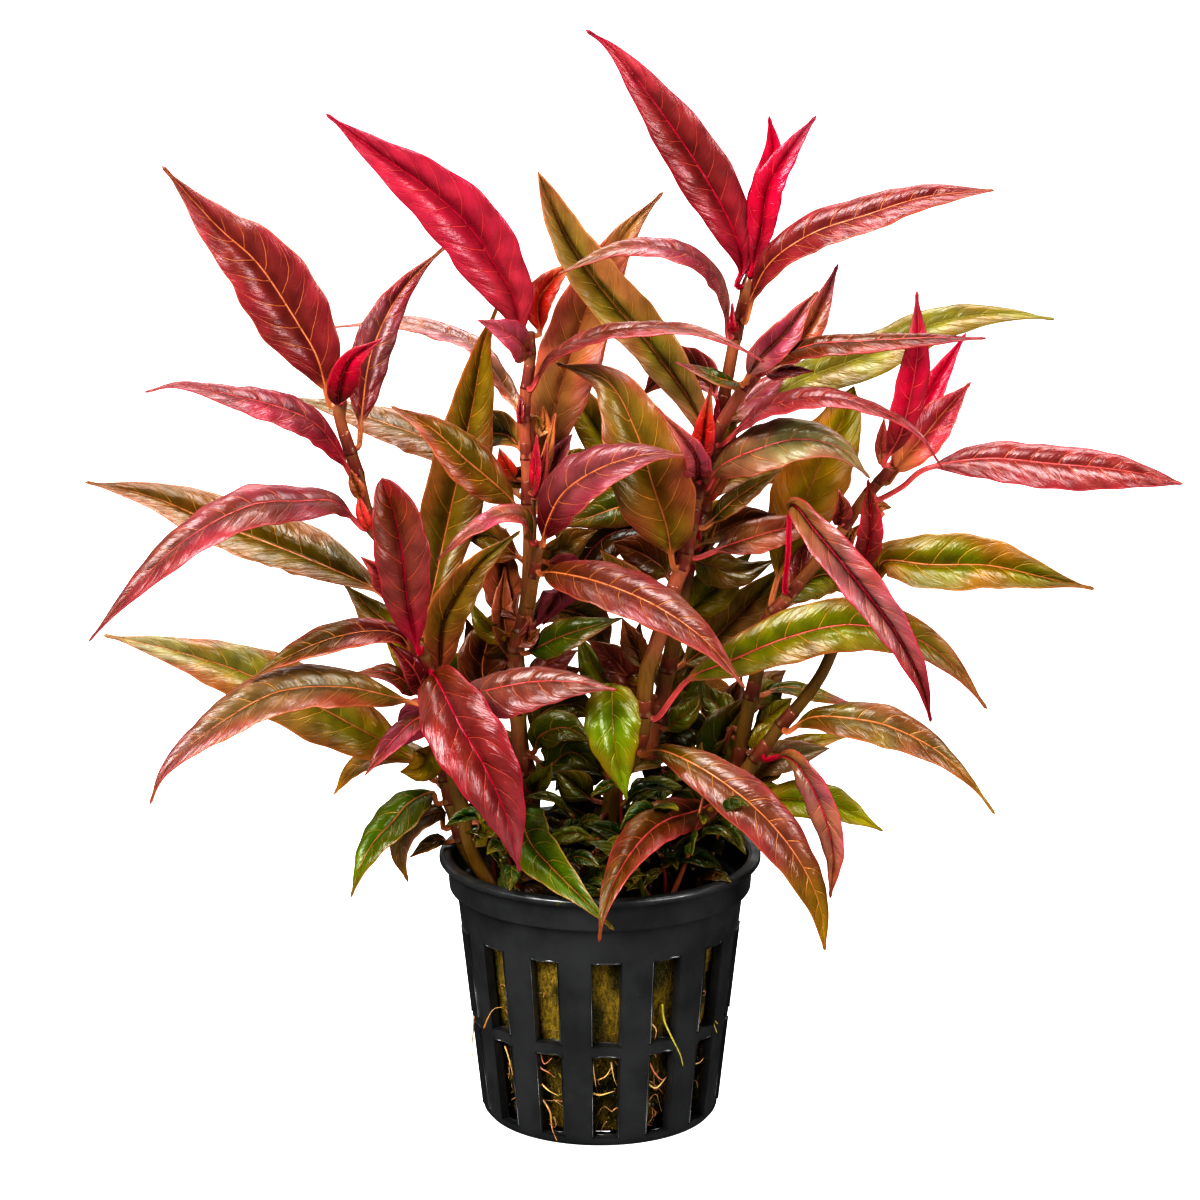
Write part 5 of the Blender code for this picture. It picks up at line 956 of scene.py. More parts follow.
def leaf_along(name, line, leaf, look, step=ROW_STEP, across=ACROSS, seen_from=EYE_MM):
    """A leaf along a line: a thin closed shell with raised quilting between sunken veins, and its layers."""
    seed = sum(ord(c) * (i + 3) for i, c in enumerate(name))
    rng = np.random.default_rng(seed)
    total = lengths_along(line)[-1]
    along = np.linspace(0, total, max(FEWEST_ROWS, int(total / step)))[:, None]
    rows = len(along)
    points = at_lengths(line, along[:, 0])
    blade = total - leaf.stalk
    share = (along - leaf.stalk) / blade
    body = eased(-0.01, 0.06, share)  # from stalk to blade
    half = half_widths(share, leaf.width, leaf.widest)
    half = half * (1 + 0.03 * body * np.sin(share * rng.uniform(9, 14) * pi + rng.uniform(0, 6)))
    half = np.maximum(half, TIP_HALF * np.sqrt(np.clip((total - along) / TIP_HALF, 0.01, 1)))

    side = np.linspace(-1, 1, 2 * across + 1)[None]
    side = np.sign(side) * (0.45 * np.abs(side) + 0.55 * np.abs(side) ** 1.5)  # closer near the midrib
    size = np.abs(side)
    off_rib = side * half
    shape = off_rib.shape
    edgeward, face = turned_halves(points, leaf, side, seen_from)

    pairs = np.clip(blade / VEIN_SPACING, FEWEST_VEINS, MOST_VEINS)
    arch = half.max() / tan(VEIN_ANGLE) / blade * size * (0.85 + 0.75 * size ** 2)
    wander = 0.06 * np.sin(share * 23 + np.sign(side) * 2.1 + rng.uniform(0, 6))
    phase = (share - arch) * pairs + wander + np.where(side > 0, 0.0, 0.42)
    cell = phase - np.floor(phase)
    quilt = (4 * cell * (1 - cell)) ** 0.8 * (size ** 0.45) * (1 - size ** 5)
    thin = eased(1.0, 0.8, share)
    wide = half / max(half.max(), 1e-6)
    flat = np.stack([np.broadcast_to(along, shape).ravel(), off_rib.ravel(), np.zeros(off_rib.size)], 1)
    grain = waves(flat, 2.6, seed).reshape(shape)
    bend = waves(along * [[1, 0, 0]], 16, seed + 5)[:, None]
    ripple = (0.08 * size ** 4 * np.sin(phase * 2 * pi + 0.8) * wide * thin
              + 0.42 * size ** 2 * bend * np.sign(side) * wide)
    bulge = 0.17 * half * np.sin(pi * size ** 0.85) * thin
    channel = (0.15 * hump(off_rib, 0.2) - 0.12 * hump(off_rib, CHANNEL)) * thin
    relief = (0.1 + 0.2 * look.bloom) * quilt * wide + 0.12 * grain * size * wide
    lift = body * (bulge + relief + ripple + channel)
    spine = points[:, None] + edgeward * np.abs(off_rib)[..., None] + face * lift[..., None]

    round_stalk = STALK_ROUND * np.sqrt(np.clip(1 - side ** 2, 0, 1))
    thick = (FACE_HALF - 0.07 * size ** 3) * body + round_stalk * (1 - body)
    rib = 0.42 * hump(off_rib, 0.36) * (1 - 0.85 * np.clip(share, 0, 1)) * body
    verts = wrapped(spine + face * thick[..., None], spine - face * (thick + rib)[..., None])

    tint = blade_tones(spine, leaf, look, share[:, 0], size, seed)
    dusk = tint * 0.9 + 0.1 * tint.mean(-1, keepdims=True)
    rib_tone = np.broadcast_to(TONES[look.rib], (*shape, 3))
    stalk = blend(rib_tone, TONES["brown"], np.broadcast_to(0.25 * (1 - side ** 2), shape))
    onto = np.broadcast_to(body, shape)
    tint = np.clip(wrapped(blend(stalk, tint, onto), blend(stalk, dusk, onto)), 0, 1)
    veins = np.stack(np.broadcast_arrays(phase, size, share), -1)
    spot = np.stack(np.broadcast_arrays(off_rib, along, half * (1 - size)), -1)
    pitch = np.full(shape, blade / pairs)
    wet = np.full(shape, look.wet)
    layers = dict(tint=tint, rib=wrapped(rib_tone), veins=wrapped(veins), spot=wrapped(spot))
    layers = {key: values.reshape(-1, 3) for key, values in layers.items()}
    layers |= {"pitch": wrapped(pitch).ravel(), "wet": wrapped(wet, 0.3 * wet).ravel()}
    return verts.reshape(-1, 3), ring_faces(rows, verts.shape[1]), layers


def leaf_shape(name, leaf, look, step=ROW_STEP, across=ACROSS):
    """A leaf along its own route, its stalk let into the stem."""
    route = [sighted(*place) for place in leaf.route]
    middle, _, _ = nearest_on(leaf.stem, leaf.foot)
    foot = foot_on(leaf.stem, leaf.foot, route[0], STALK_HALF)
    sunk = foot - unit(foot - middle) * (np.linalg.norm(foot - middle) * 0.72)
    return leaf_along(name, smooth([sunk, foot, *route]), leaf, look, step, across)


def bunch_by_hue(leaves):
    """Leaves as one bunch for each hue, from their names, leaves and looks."""
    bunches = {}
    for name, leaf, look in leaves:
        verts, faces, layers = leaf_shape(name, leaf, look, SMALL_STEP, SMALL_ACROSS)
        bunches.setdefault(leaf.hue, Bunch()).add(verts, faces, **layers)
    return bunches.items()


def fine_leaves(skins):
    """Each large leaf replaces its solid; the small ones of a stem are one piece."""
    for name, leaf in LEAVES.items():
        verts, faces, layers = leaf_shape(name, leaf, LOOKS[name])
        slot = "leaf_" + leaf.hue
        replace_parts(make_piece(name + "_blade", verts, faces, skins[slot], slot, **layers), name)
    for stem in STEMS:
        small = [(name, leaf, LOOKS[name]) for name, leaf in SMALL_LEAVES.items() if leaf.stem == stem]
        for hue, bunch in bunch_by_hue(small):
            bunch.piece(f"{stem}_small_{hue}", skins["leaf_" + hue], "leaf_" + hue)


def inner_leaves(skins):
    """The leaves seen between the others, and those of the young side shoots."""
    rng = np.random.default_rng(5)
    leaves = []
    for index, inner in enumerate(INNER_LEAVES):
        hue = "bronze" if inner.base in ("umber", "bronze", "rust", "wine") else "green"
        tilts = rng.uniform(-50, 20), rng.uniform(-10, 55)
        leaf = Leaf(inner.stem, inner.foot, inner.width, *tilts, inner.stalk, hue, 0.42, inner.route)
        look = Look(inner.base, inner.tip, inner.tip, inner.base, "rust", 0.5, 0.4)
        leaves.append((f"inner{index}", leaf, look))
    for hue, bunch in bunch_by_hue(leaves):
        bunch.piece("inner_leaves_" + hue, skins["leaf_" + hue], "leaf_" + hue)


# Materials

class Shade:
    """A socket of a material's nodes, so that arithmetic on it adds nodes."""

    def __init__(self, tree, socket=None):
        self.tree, self.socket = tree, socket

    def node(self, kind, settings=None, output=0, **sockets):
        """A node with its settings, and with values or links on sockets given by name or as i and a number."""
        made = self.tree.nodes.new(kind)
        for key, value in (settings or {}).items():
            setattr(made, key, value)
        for key, value in sockets.items():
            numbered = key[0] == "i" and key[1:].isdigit()
            socket = made.inputs[int(key[1:]) if numbered else key.replace("_", " ")]
            if isinstance(value, Shade):
                self.tree.links.new(value.socket, socket)
            elif np.ndim(value) == 0:
                socket.default_value = value
            else:
                socket.default_value = [*value, 1.0][:len(socket.default_value)]
        return Shade(self.tree, made.outputs[output])

    def maths(self, operation, a, b=0.0):
        return self.node("ShaderNodeMath", {"operation": operation}, i0=a, i1=b)

    def __add__(self, other):
        return self.maths("ADD", self, other)

    def __mul__(self, other):
        return self.maths("MULTIPLY", self, other)

    __rmul__ = __mul__

    def __sub__(self, other):
        return self.maths("SUBTRACT", self, other)

    def __rsub__(self, other):
        return self.maths("SUBTRACT", other, self)

    def __pow__(self, other):
        return self.maths("POWER", self, other)

    def fract(self):
        return self.maths("FRACT", self)

    def size(self):
        return self.maths("ABSOLUTE", self)

    def step(self, low, high):
        """Nought at low, one at high, smooth between; low may be the larger."""
        return self.node("ShaderNodeMapRange", {"interpolation_type": "SMOOTHSTEP"}, Value=self,
                         From_Min=low, From_Max=high)

    def mix(self, a, b):
        """Colour a where this is nought, b where it is one."""
        return self.node("ShaderNodeMix", {"data_type": "RGBA"}, output=2, i0=self, i6=a, i7=b)

    def times(self, share):
        """This colour or place, multiplied."""
        return self.node("ShaderNodeVectorMath", {"operation": "SCALE"}, i0=self, Scale=share)

    def parts(self):
        """The three numbers of a vector."""
        split = self.tree.nodes.new("ShaderNodeSeparateXYZ")
        self.tree.links.new(self.socket, split.inputs[0])
        return [Shade(self.tree, socket) for socket in split.outputs]

    def stretched(self, scale, turn=(0.0, 0.0, 0.0)):
        """A place with its axes turned and scaled, so that noise in it is drawn out."""
        return self.node("ShaderNodeMapping", Vector=self, Rotation=turn, Scale=scale)

    def noise(self, scale, detail, rough):
        """Noise between 0 and 1 at this place, scale features to the millimetre."""
        return self.node("ShaderNodeTexNoise", Vector=self, Scale=scale, Detail=detail, Roughness=rough)

    def bump(self, strength, metres):
        """The surface's way, where this is its height, one standing for so many metres."""
        return self.node("ShaderNodeBump", Height=self, Strength=strength, Distance=metres)

    def layer(self, name, output=1):
        """A named value of the mesh: output 1 is a vector or colour, 2 a number."""
        return self.node("ShaderNodeAttribute", {"attribute_name": name}, output)

    def place(self):
        """The place on the piece, in millimetres."""
        return self.node("ShaderNodeTexCoord", output=3).times(1 / MM)


def new_material(name, **constants):
    """A material, a maker of its nodes, and a function that feeds its shader. constants are set at once."""
    material = bpy.data.materials.new(name)
    material.use_nodes = True
    tree = material.node_tree
    shader = tree.nodes["Principled BSDF"]

    def feed(**inputs):
        for key, value in inputs.items():
            socket = shader.inputs[key.replace("_", " ")]
            if isinstance(value, Shade):
                tree.links.new(value.socket, socket)
            else:
                socket.default_value = value

    feed(**constants)
    return material, Shade(tree), feed


def leaf_material(name, gloss, bloom):
    """Leaf skin: a lit colour, sunken arching veins, a red edge and a wet gloss that breaks up."""
    material, maker, feed = new_material(name, Coat_Roughness=0.1, Coat_IOR=1.4, Specular_IOR_Level=0.36)
    tint = maker.layer("tint")
    rib_tone = maker.layer("rib")
    phase, size, share = maker.layer("veins").parts()
    off_rib, _, to_edge = maker.layer("spot").parts()
    pitch = maker.layer("pitch", 2)
    soaked = maker.layer("wet", 2)
    place = maker.place()

    on_blade = share.step(-0.01, 0.05)
    bent = phase + (place.noise(0.5, 2, 0.5) - 0.5) * 0.12
    cell = bent.fract()
    to_vein = (0.5 - (cell - 0.5).size()) * pitch
    vein = to_vein.step(0.17, 0.05) * (1 - size ** 4.0) * on_blade
    to_fork = (0.5 - ((bent * 2.0 + size * 1.5 + 0.5).fract() - 0.5).size()) * pitch
    fork = to_fork.step(0.2, 0.05) * size.step(0.35, 0.6) * on_blade
    rib = (off_rib.size() + share * 0.08).step(0.24, 0.1) * (1 - share.step(0.5, 1.0) * 0.6) * on_blade
    edge = to_edge.step(0.3, 0.1) * on_blade
    between_veins = maker.node("ShaderNodeCombineXYZ", X=bent * pitch, Y=off_rib * 0.3, Z=to_edge * 0.1)
    pleat = between_veins.noise(0.95, 3, 0.65)
    mottle = place.noise(0.3, 3, 0.6).step(0.38, 0.66)
    speck = place.noise(2.4, 3, 0.6)

    # shade is a darker copy of the tint: it gives random darker mottling, and painted shade in the pleats'
    # folds below
    shade = tint.times(0.5)
    colour = (mottle * 0.3).mix(tint, shade)
    # Painted shade: the low folds between the pleats' raised crests are darkened
    colour = (pleat.step(0.46, 0.36) * 0.16).mix(colour, shade)
    # Pale dusty pink on the pleats' raised crests: partly a dusty bloom, partly a painted sheen
    colour = ((pleat.step(0.5, 0.68) * speck) * bloom * 0.5).mix(colour, TONES["dusty"])
    pale = maker.node("ShaderNodeMix", {"data_type": "RGBA"}, output=2, i0=0.25, i6=tint, i7=rib_tone)
    pale = maker.node("ShaderNodeVectorMath", {"operation": "MULTIPLY_ADD"}, i0=pale, i1=(1.5, 1.5, 1.2),
                      i2=(0.035, 0.03, 0.006))
    colour = (vein * 0.95).mix(colour, pale)
    colour = (fork * 0.3).mix(colour, pale)
    colour = (edge * 0.25).mix(colour, rib_tone)
    colour = (rib * 0.8).mix(colour, rib_tone)

    quilt = cell * (1 - cell) * 4.0
    height = (quilt * 0.12 + pleat * 0.3 + speck * 0.05 - vein * 0.26 - fork * 0.1 - rib * 0.15
              + off_rib.size() * 0.42)
    drift = place.noise(0.16, 2, 0.5)
    along_veins = maker.node("ShaderNodeCombineXYZ", X=phase * 0.4, Y=off_rib * 0.16, Z=drift * 5.0)
    wet = (along_veins.noise(1.0, 3, 0.55) + drift * 0.3 + soaked * 0.3).step(0.83, 0.87) * gloss
    broken = (pleat.step(0.4, 0.47) * 0.75 + 0.25) * (1 - vein * 0.9) * (1 - rib * 0.6)
    film = wet * broken * (speck.step(0.35, 0.55) * 0.4 + 0.6) * (soaked * 0.35 + 0.1) * 0.6
    feed(Base_Color=colour, Normal=height.bump(0.9, 0.0008), Coat_Weight=film,
         Roughness=(1 - wet) * 0.1 + speck * 0.08 + 0.12)
    return material


def stem_material():
    """Smooth stem skin with fine streaks along it."""
    material, maker, feed = new_material("stem_skin", Coat_Roughness=0.13, Specular_IOR_Level=0.3)
    tint = maker.layer("tint")
    place = maker.place()
    drawn = place.stretched((1.0, 1.0, 0.12))
    streak = drawn.noise(3.2, 3, 0.6)
    speck = place.noise(2.0, 3, 0.6)
    colour = (streak.step(0.46, 0.7) * 0.45).mix(tint, tint.times(0.5))
    colour = (speck.step(0.62, 0.75) * 0.3).mix(colour, TONES["straw"])
    wet = drawn.noise(0.35, 3, 0.6).step(0.36, 0.6)
    feed(Base_Color=colour, Normal=(streak + speck * 0.4).bump(0.4, 0.0003), Roughness=speck * 0.2 + 0.34,
         Coat_Weight=wet * 0.8)
    return material


def plastic_material():
    """Black moulded plastic, damp: satin with scuffs, faint dust and pale marks."""
    material, maker, feed = new_material("pot_plastic", Coat_Roughness=0.14, Specular_IOR_Level=0.35)
    place = maker.place()
    cloud = place.noise(0.11, 4, 0.6)
    speck = place.noise(2.6, 4, 0.65)
    scuff = place.stretched((1.0, 1.0, 0.2)).noise(1.4, 5, 0.7)
    marks = place.noise(0.7, 5, 0.7).step(0.63, 0.72)
    colour = cloud.step(0.3, 0.7).mix((0.017, 0.0172, 0.0176), (0.026, 0.0262, 0.0268))
    colour = (marks * 0.16).mix(colour, (0.09, 0.085, 0.07))
    colour = (speck.step(0.7, 0.8) * 0.22).mix(colour, (0.12, 0.12, 0.12))
    feed(Base_Color=colour, Normal=(speck * 0.6 + scuff).bump(0.16, 0.0003),
         Roughness=scuff * 0.2 + marks * 0.12 + 0.27, Coat_Weight=cloud.step(0.42, 0.58) * 0.7)
    return material


def wool_material():
    """Damp mineral wool: matted fibres, olive and straw, with painted shade in the hollows."""
    material, maker, feed = new_material("wool", Specular_IOR_Level=0.25, Coat_Weight=0.1)
    tint = maker.layer("tint")
    place = maker.place()
    fibre = place.stretched((1.0, 1.0, 0.3), (0.5, 0.4, 0.2)).noise(2.6, 6, 0.72)
    speck = place.noise(4.5, 4, 0.7)
    # Painted shade: darker where the fibre noise is low, which the bump makes into hollows
    colour = fibre.step(0.58, 0.40).mix(tint, tint.times(0.42))
    colour = (speck.step(0.52, 0.7) * 0.6).mix(colour, TONES["fleck"])
    feed(Base_Color=colour, Normal=(fibre * 1.4 + speck * 0.7).bump(1.0, 0.0009), Roughness=fibre * 0.35 + 0.55)
    return material


def thread_material():
    """Roots and fibres: their own colour with paler and darker lengths."""
    material, maker, feed = new_material("roots", Subsurface_Weight=0.3, Subsurface_Scale=0.0005,
                                         Coat_Roughness=0.2, Coat_Weight=0.2, Specular_IOR_Level=0.2)
    tint = maker.layer("tint")
    speck = maker.place().noise(1.6, 3, 0.6)
    feed(Base_Color=(speck.step(0.4, 0.65) * 0.7).mix(tint, tint.times(0.55)), Roughness=speck * 0.3 + 0.35)
    return material


# Pot

def on_circle(radius, height, angle):
    """Points on a ring, the angle counted from the front to the right."""
    return np.stack([radius * np.sin(angle), -radius * np.cos(angle), height + 0 * angle], -1)


def pot_columns():
    """The angles of the wall's columns, and whether there are slots between each and the next."""
    turn = 2 * pi / SLOTS
    angles, slotted = [], []
    for k in range(SLOTS):
        start = FIRST_SLOT + k * turn - SLOT_ANGLE / 2
        angles += [start + SLOT_ANGLE * j / SLOT_CUTS for j in range(SLOT_CUTS)]
        angles += [start + SLOT_ANGLE + (turn - SLOT_ANGLE) * j / BAR_CUTS for j in range(BAR_CUTS)]
        slotted += [True] * SLOT_CUTS + [False] * BAR_CUTS
    return np.array(angles), np.array(slotted)


def pot_faces(slotted):
    """The faces of the pot's outer and inner wall, its slots' sides, its lip and its bottom."""
    columns, rows = len(slotted), len(POT_ROWS)
    middles = 2 * rows * columns
    faces = []

    def corner(sheet, row, column):
        return (sheet * rows + row) * columns + column % columns

    def is_slot(row, column):
        return row in POT_BANDS and slotted[column % columns]

    def slot_sides(row, column):
        """The sides of a slot's cell, left out where the slot goes on."""
        for (r0, c0), (r1, c1), (next_row, next_column) in (
                ((row, column), (row, column + 1), (row - 1, column)),
                ((row, column + 1), (row + 1, column + 1), (row, column + 1)),
                ((row + 1, column + 1), (row + 1, column), (row + 1, column)),
                ((row + 1, column), (row, column), (row, column - 1))):
            if next_row < 0 or not is_slot(next_row, next_column):
                yield [corner(0, r0, c0), corner(1, r0, c0), corner(1, r1, c1), corner(0, r1, c1)]

    for column in range(columns):
        for row in range(rows - 1):
            if is_slot(row, column):
                faces += slot_sides(row, column)
                continue
            faces.append([corner(0, row, column), corner(0, row, column + 1),
                          corner(0, row + 1, column + 1), corner(0, row + 1, column)])
            faces.append([corner(1, row + 1, column), corner(1, row + 1, column + 1),
                          corner(1, row, column + 1), corner(1, row, column)])
        top = rows - 1
        faces.append([corner(0, top, column), corner(0, top, column + 1),
                      corner(1, top, column + 1), corner(1, top, column)])
    for column in range(columns):
        faces.append([middles, corner(0, 0, column + 1), corner(0, 0, column)])
        faces.append([middles + 1, corner(1, 0, column), corner(1, 0, column + 1)])
    return faces


def fine_pot(material):
    """The slotted pot with its lip, band, slots and softened edges."""
    angles, slotted = pot_columns()
    inside_slot = np.roll(slotted, 1) & slotted
    verts = []
    for sheet in (0, 1):
        for index, row in enumerate(POT_ROWS):
            radius, height = row[sheet]
            inset = np.where(inside_slot, RIB_SUNK, 0.0) if index in RIB_ROWS else 0.0
            verts.append(on_circle(radius - inset, height, angles))
    verts.append([[0, 0, height] for _, height in POT_ROWS[0]])
    pot = make_piece("pot_shell", np.concatenate(verts), pot_faces(slotted), material, "pot_plastic")
    bevel = pot.modifiers.new("soft_edges", "BEVEL")
    bevel.width = EDGE_SOFTNESS * MM
    bevel.segments = 2
    bevel.limit_method = "ANGLE"
    bevel.angle_limit = radians(50)
    pot.data.set_sharp_from_angle(angle=radians(60))
    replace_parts(pot, "pot")


# Plug, roots and moss

def fine_plug(material):
    """The wool plug: slumped and hollowed behind the slots, mossy and lumpy on top."""
    profile = np.array([[radius, 0, height] for radius, height in PLUG_PROFILE], float)
    profile = at_lengths(profile, np.arange(0, lengths_along(profile)[-1], PLUG_STEP))
    angles = np.arange(PLUG_AROUND) * 2 * pi / PLUG_AROUND
    verts = np.concatenate([on_circle(radius, height, angles) for radius, _, height in profile])
    height = verts[:, 2]
    outward = unit(verts * [1, 1, 0])
    wall = eased(1.9, 3.0, height) * eased(39.5, 37.5, height)
    low = eased(19, 15, height)
    lumps = waves(verts, 7, 21) * 0.5 + waves(verts, 3.2, 22) * 0.35 + waves(verts, 1.4, 23) * 0.16
    sunk = -(0.35 + 0.55 * eased(-0.3, 1.3, -lumps) + low * (0.5 + 1.3 * eased(-0.2, 1.4, waves(verts, 5, 24))))
    verts = verts + outward * ((sunk + 0.12 * waves(verts, 0.9, 25)) * wall)[:, None]
    top = eased(38.8, 40.2, height)
    flat = verts * [1, 1, 0]
    verts[:, 2] += top * (0.9 * waves(flat, 8, 31) + 0.55 * waves(flat, 3, 32) + 0.28 * waves(flat, 1.3, 33))

    tint = blend(srgb(128, 108, 28), srgb(158, 134, 50), eased(-0.6, 1.2, waves(verts, 5, 41)))
    tint = blend(tint, srgb(70, 66, 24), eased(0.2, 1.2, waves(verts, 4, 42)))
    tint = blend(tint, srgb(44, 46, 20), low * eased(-0.2, 1.0, waves(verts, 6, 43)))
    mossy = blend(srgb(52, 50, 18), srgb(96, 82, 30), eased(0, 1.3, waves(verts, 5, 44)))
    mossy = blend(mossy, srgb(22, 26, 12), eased(-0.4, 0.9, waves(verts, 9, 45)))
    tint = blend(tint, mossy, top)
    plug = make_piece("wool_plug", verts, ring_faces(len(profile), PLUG_AROUND), material, "wool", tint=tint)
    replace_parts(plug, "plug")


def thread(bunch, points, radius, tone, around, step):
    """Adds a fine tapering thread through points to a bunch."""
    line = smooth([np.asarray(point, float) for point in points], 6)
    count = max(3, int(lengths_along(line)[-1] / step))
    line = at_lengths(line, np.linspace(0, lengths_along(line)[-1], count))
    verts = tube(line, radius * np.linspace(1, THREAD_TAPER, count), around)
    bunch.add(verts, ring_faces(count, around), tint=np.broadcast_to(tone, (len(verts), 3)))


def on_wall(px, py, lift):
    """The point that the viewer sees at a pixel, lift millimetres outside the line of the pot's wall."""
    places = EYE_MM + np.arange(600.0, 760.0, 0.05)[:, None] * unit(sight_ray(px, py))
    off = np.hypot(places[:, 0], places[:, 1]) - np.interp(places[:, 2], WALL_HEIGHTS, WALL_RADII) - lift
    inside = np.nonzero(off <= 0)[0]
    return places[inside[0]] if len(inside) else places[int(np.argmin(off))]


def hold_within(points, radii):
    """Draws points in to the radius that their height allows."""
    for point in points:
        limit = np.interp(point[2], WALL_HEIGHTS, radii)
        flat = np.hypot(point[0], point[1])
        if flat > limit:
            point[:2] *= limit / flat


def roots(material, rng):
    """Roots that show in the slots, a few of them outside the pot, and the finer web behind them."""
    bunch = Bunch()
    for tone, radius, lift, places in ROOTS:
        route = [on_wall(px, py, lift + extra) for px, py, extra in places]
        thread(bunch, route, radius, TONES[tone], 6, 0.35)
    for _ in range(WEB_ROOTS):
        angle = rng.uniform(0, 2 * pi)
        height = rng.uniform(3, 18) if rng.random() < 0.72 else rng.uniform(18, 36)
        points = []
        drift = rng.uniform(-0.06, 0.06)
        for _ in range(5):
            radius = np.interp(height, WALL_HEIGHTS, WEB_RADII) + rng.uniform(-0.5, 0.7)
            points.append(on_circle(radius, height, np.float64(angle)))
            angle += drift + rng.uniform(-0.05, 0.05)
            height = np.clip(height + rng.uniform(-2.2, 1.6), 2.4, 37)
        tone = blend(srgb(168, 138, 98), srgb(140, 96, 66), rng.random())
        thread(bunch, points, rng.uniform(0.10, 0.2), tone, 5, 0.6)
    bunch.piece("roots", material, "wool")


def wool_fibres(material, rng):
    """Loose fibres of the wool, curled and held behind the slots."""
    bunch = Bunch()
    for _ in range(WOOL_FIBRES):
        angle = rng.uniform(0, 2 * pi)
        height = rng.uniform(2.5, 38)
        radius = np.interp(height, WALL_HEIGHTS, FIBRE_RADII)
        start = on_circle(radius - 0.3, height, np.float64(angle))
        outward = unit(start * [1, 1, 0])
        way = unit(rng.normal(size=3)) + outward * 0.25
        length = rng.uniform(0.8, 2.4)
        curl = unit(rng.normal(size=3)) * 0.4
        points = [start, start + way * length * 0.5 + curl * 0.5, start + way * length * 0.8 - outward * 0.25]
        hold_within(points, FIBRE_LIMITS)
        tone = blend(srgb(196, 178, 74), srgb(120, 104, 36), rng.random())
        thread(bunch, points, rng.uniform(0.035, 0.06), tone, 3, 0.8)
    bunch.piece("wool_fibres", material, "wool")


def moss(material, rng):
    """The moss that stands up on the plug."""
    bunch = Bunch()
    for _ in range(MOSS_FIBRES):
        radius, angle = 22.2 * np.sqrt(rng.random()), rng.uniform(0, 2 * pi)
        start = on_circle(radius, 39.6, np.float64(angle))
        lean = np.array([*rng.normal(size=2) * 0.9, rng.uniform(0.2, 1.1)])
        length = rng.uniform(0.8, 2.6)
        points = [start, start + lean * length * 0.5, start + lean * length * 0.8 + rng.normal(size=3) * 0.3]
        hold_within(points, MOSS_LIMITS)
        tone = blend(srgb(112, 88, 34), srgb(56, 66, 22), rng.random())
        thread(bunch, points, rng.uniform(0.04, 0.08), tone, 3, 0.9)
    bunch.piece("moss_fibres", material, "wool")


def shoot_leaf(name, start, rise, look, rng):
    """A tiny leaf of a young shoot, lying open to the light: points, faces and layers."""
    turn = rng.uniform(0, 2 * pi)
    away = np.array([cos(turn), sin(turn), rng.uniform(-0.3, 0.6)])
    size = rng.uniform(4, 11)
    foot = start + rise * rng.uniform(0.45, 1.0)
    route = [foot, foot + away * size * 0.35 + [0, 0, size * 0.18],
             foot + away * size * 0.75 + [0, 0, size * 0.12], foot + away * size]
    leaf = Leaf("", (0, 0), size * rng.uniform(0.34, 0.5), rng.uniform(-60, 40), rng.uniform(-40, 60),
                size * 0.12, "green", 0.42, [])
    sky = foot + np.array([rng.uniform(-40, 40), -60, 90.0])
    return leaf_along(name, smooth(route), leaf, look, 0.6, 6, sky)


def shoot_stalk(line, tone):
    """The stalk of a young shoot, with the layers that the leaves' material reads."""
    verts = tube(line, np.linspace(0.55, 0.3, len(line)), 6)
    count = len(verts)
    tint, off_blade, far_in = (np.broadcast_to(value, (count, 3)) for value in (tone, [0, 0, -1], [9, 0, 9]))
    layers = dict(tint=tint, rib=tint, veins=off_blade, spot=far_in)
    layers |= {"pitch": np.ones(count), "wet": np.full(count, 0.5)}
    return verts, ring_faces(len(line), 6), layers


def young_shoots(skin, rng):
    """The tiny shoots that grow through the moss, three in four of them at the front."""
    bunch = Bunch()
    for index in range(SHOOTS):
        radius, angle = rng.uniform(3, 21), rng.uniform(-1.7, 1.7) if index % 4 else rng.uniform(0, 2 * pi)
        start = on_circle(radius, 39.4, np.float64(angle))
        lean = np.array([*rng.normal(size=2) * 0.35, 1.0])
        tall = rng.uniform(3, 15) if index % 3 else rng.uniform(12, 24)
        crown = start + lean * tall
        held = min(1.0, SHOOT_REACH / max(np.hypot(crown[0], crown[1]), 1e-6))
        crown[:2] *= held
        rise = lean * tall * [held, held, 1]
        tone = ["moss", "pine", "leaf", "pine", "umber"][int(rng.integers(5))]
        for k in range(int(rng.integers(2, 5))):
            look = Look(tone, tone, ["leaf", "moss", "pine"][k % 3], tone, "olive", 0.6, 0.4)
            verts, faces, layers = shoot_leaf(f"shoot{index}{k}", start, rise, look, rng)
            bunch.add(verts, faces, **layers)
        line = smooth([start - [0, 0, 2], start + rise * 0.5, crown])
        verts, faces, layers = shoot_stalk(line, TONES[["crimson", "brown", "moss", "rust"][index % 4]])
        bunch.add(verts, faces, **layers)
    bunch.piece("young_shoots", skin, "leaf_green")


# Floor, light and camera

def shown(name, data, place=(0, 0, 0), turn=(0, 0, 0)):
    """An object of the scene."""
    made = bpy.data.objects.new(name, data)
    made.location = place
    made.rotation_euler = turn
    bpy.context.scene.collection.objects.link(made)
    return made


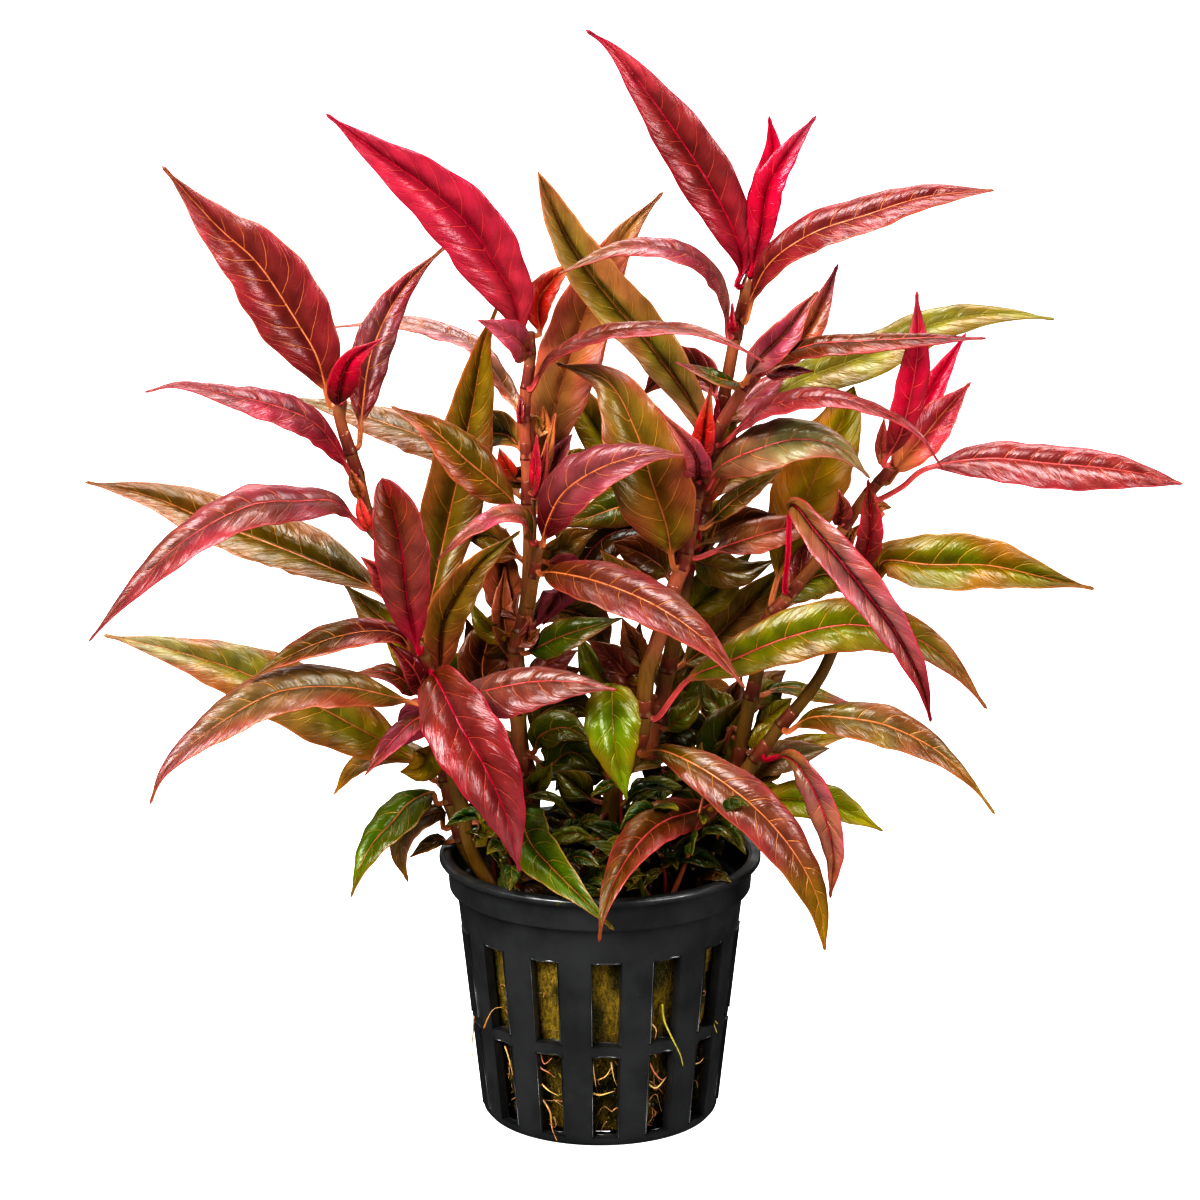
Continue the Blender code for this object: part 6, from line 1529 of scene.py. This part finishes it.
def pale_floor():
    """A plain floor that glows a little and isn't mirrored in the gloss."""
    corners = [(-FLOOR_HALF, -FLOOR_HALF, 0), (FLOOR_HALF, -FLOOR_HALF, 0),
               (FLOOR_HALF, FLOOR_HALF, 0), (-FLOOR_HALF, FLOOR_HALF, 0)]
    mesh = bpy.data.meshes.new("floor")
    mesh.from_pydata(corners, [], [(0, 1, 2, 3)])
    material, _, _ = new_material("pale_floor", Base_Color=FLOOR_TONE, Roughness=0.9, Specular_IOR_Level=0.0,
                                  Emission_Color=(1, 1, 1, 1), Emission_Strength=FLOOR_GLOW)
    mesh.materials.append(material)
    floor = shown("floor", mesh)
    floor.visible_glossy = False


def studio_light():
    """A dim white world and the lamps, each aimed at the plant or the floor by it."""
    world = bpy.data.worlds.new("studio")
    bpy.context.scene.world = world
    world.use_nodes = True
    backdrop = world.node_tree.nodes["Background"].inputs
    backdrop["Color"].default_value = (1, 1, 1, 1)
    backdrop["Strength"].default_value = WORLD_LIGHT
    for name, place, aim, size, power in LIGHTS:
        lamp = bpy.data.lights.new(name, "AREA")
        lamp.shape = "RECTANGLE"
        lamp.size, lamp.size_y = size
        lamp.energy = power
        shown(name, lamp, place, (Vector(aim) - Vector(place)).to_track_quat("-Z", "Y").to_euler())


def viewpoint():
    """The camera of the photograph, and how its picture is toned."""
    camera = bpy.data.cameras.new("camera")
    camera.sensor_width = SENSOR_MM
    camera.lens = FOCAL_PX * SENSOR_MM / PHOTO_PX
    camera.clip_end = 50
    bpy.context.scene.camera = shown("camera", camera, Vector(EYE_MM) * MM, (pi / 2 - PITCH, 0, 0))
    bpy.context.scene.view_settings.view_transform = "Standard"
    bpy.context.scene.view_settings.look = CONTRAST


def main():
    pale_floor()
    studio_light()
    viewpoint()
    leaf_skins = {slot: leaf_material(slot, *finish) for slot, finish in FINISHES.items()}
    fine_pot(plastic_material())
    wool, threads = wool_material(), thread_material()
    fine_plug(wool)
    rng = np.random.default_rng(8)
    roots(threads, rng)
    wool_fibres(threads, rng)
    rng = np.random.default_rng(17)
    moss(threads, rng)
    young_shoots(leaf_skins["leaf_green"], rng)
    skin = stem_material()
    for name in STEMS:
        fine_stem(name, skin)
    fine_leaves(leaf_skins)
    inner_leaves(leaf_skins)


main()
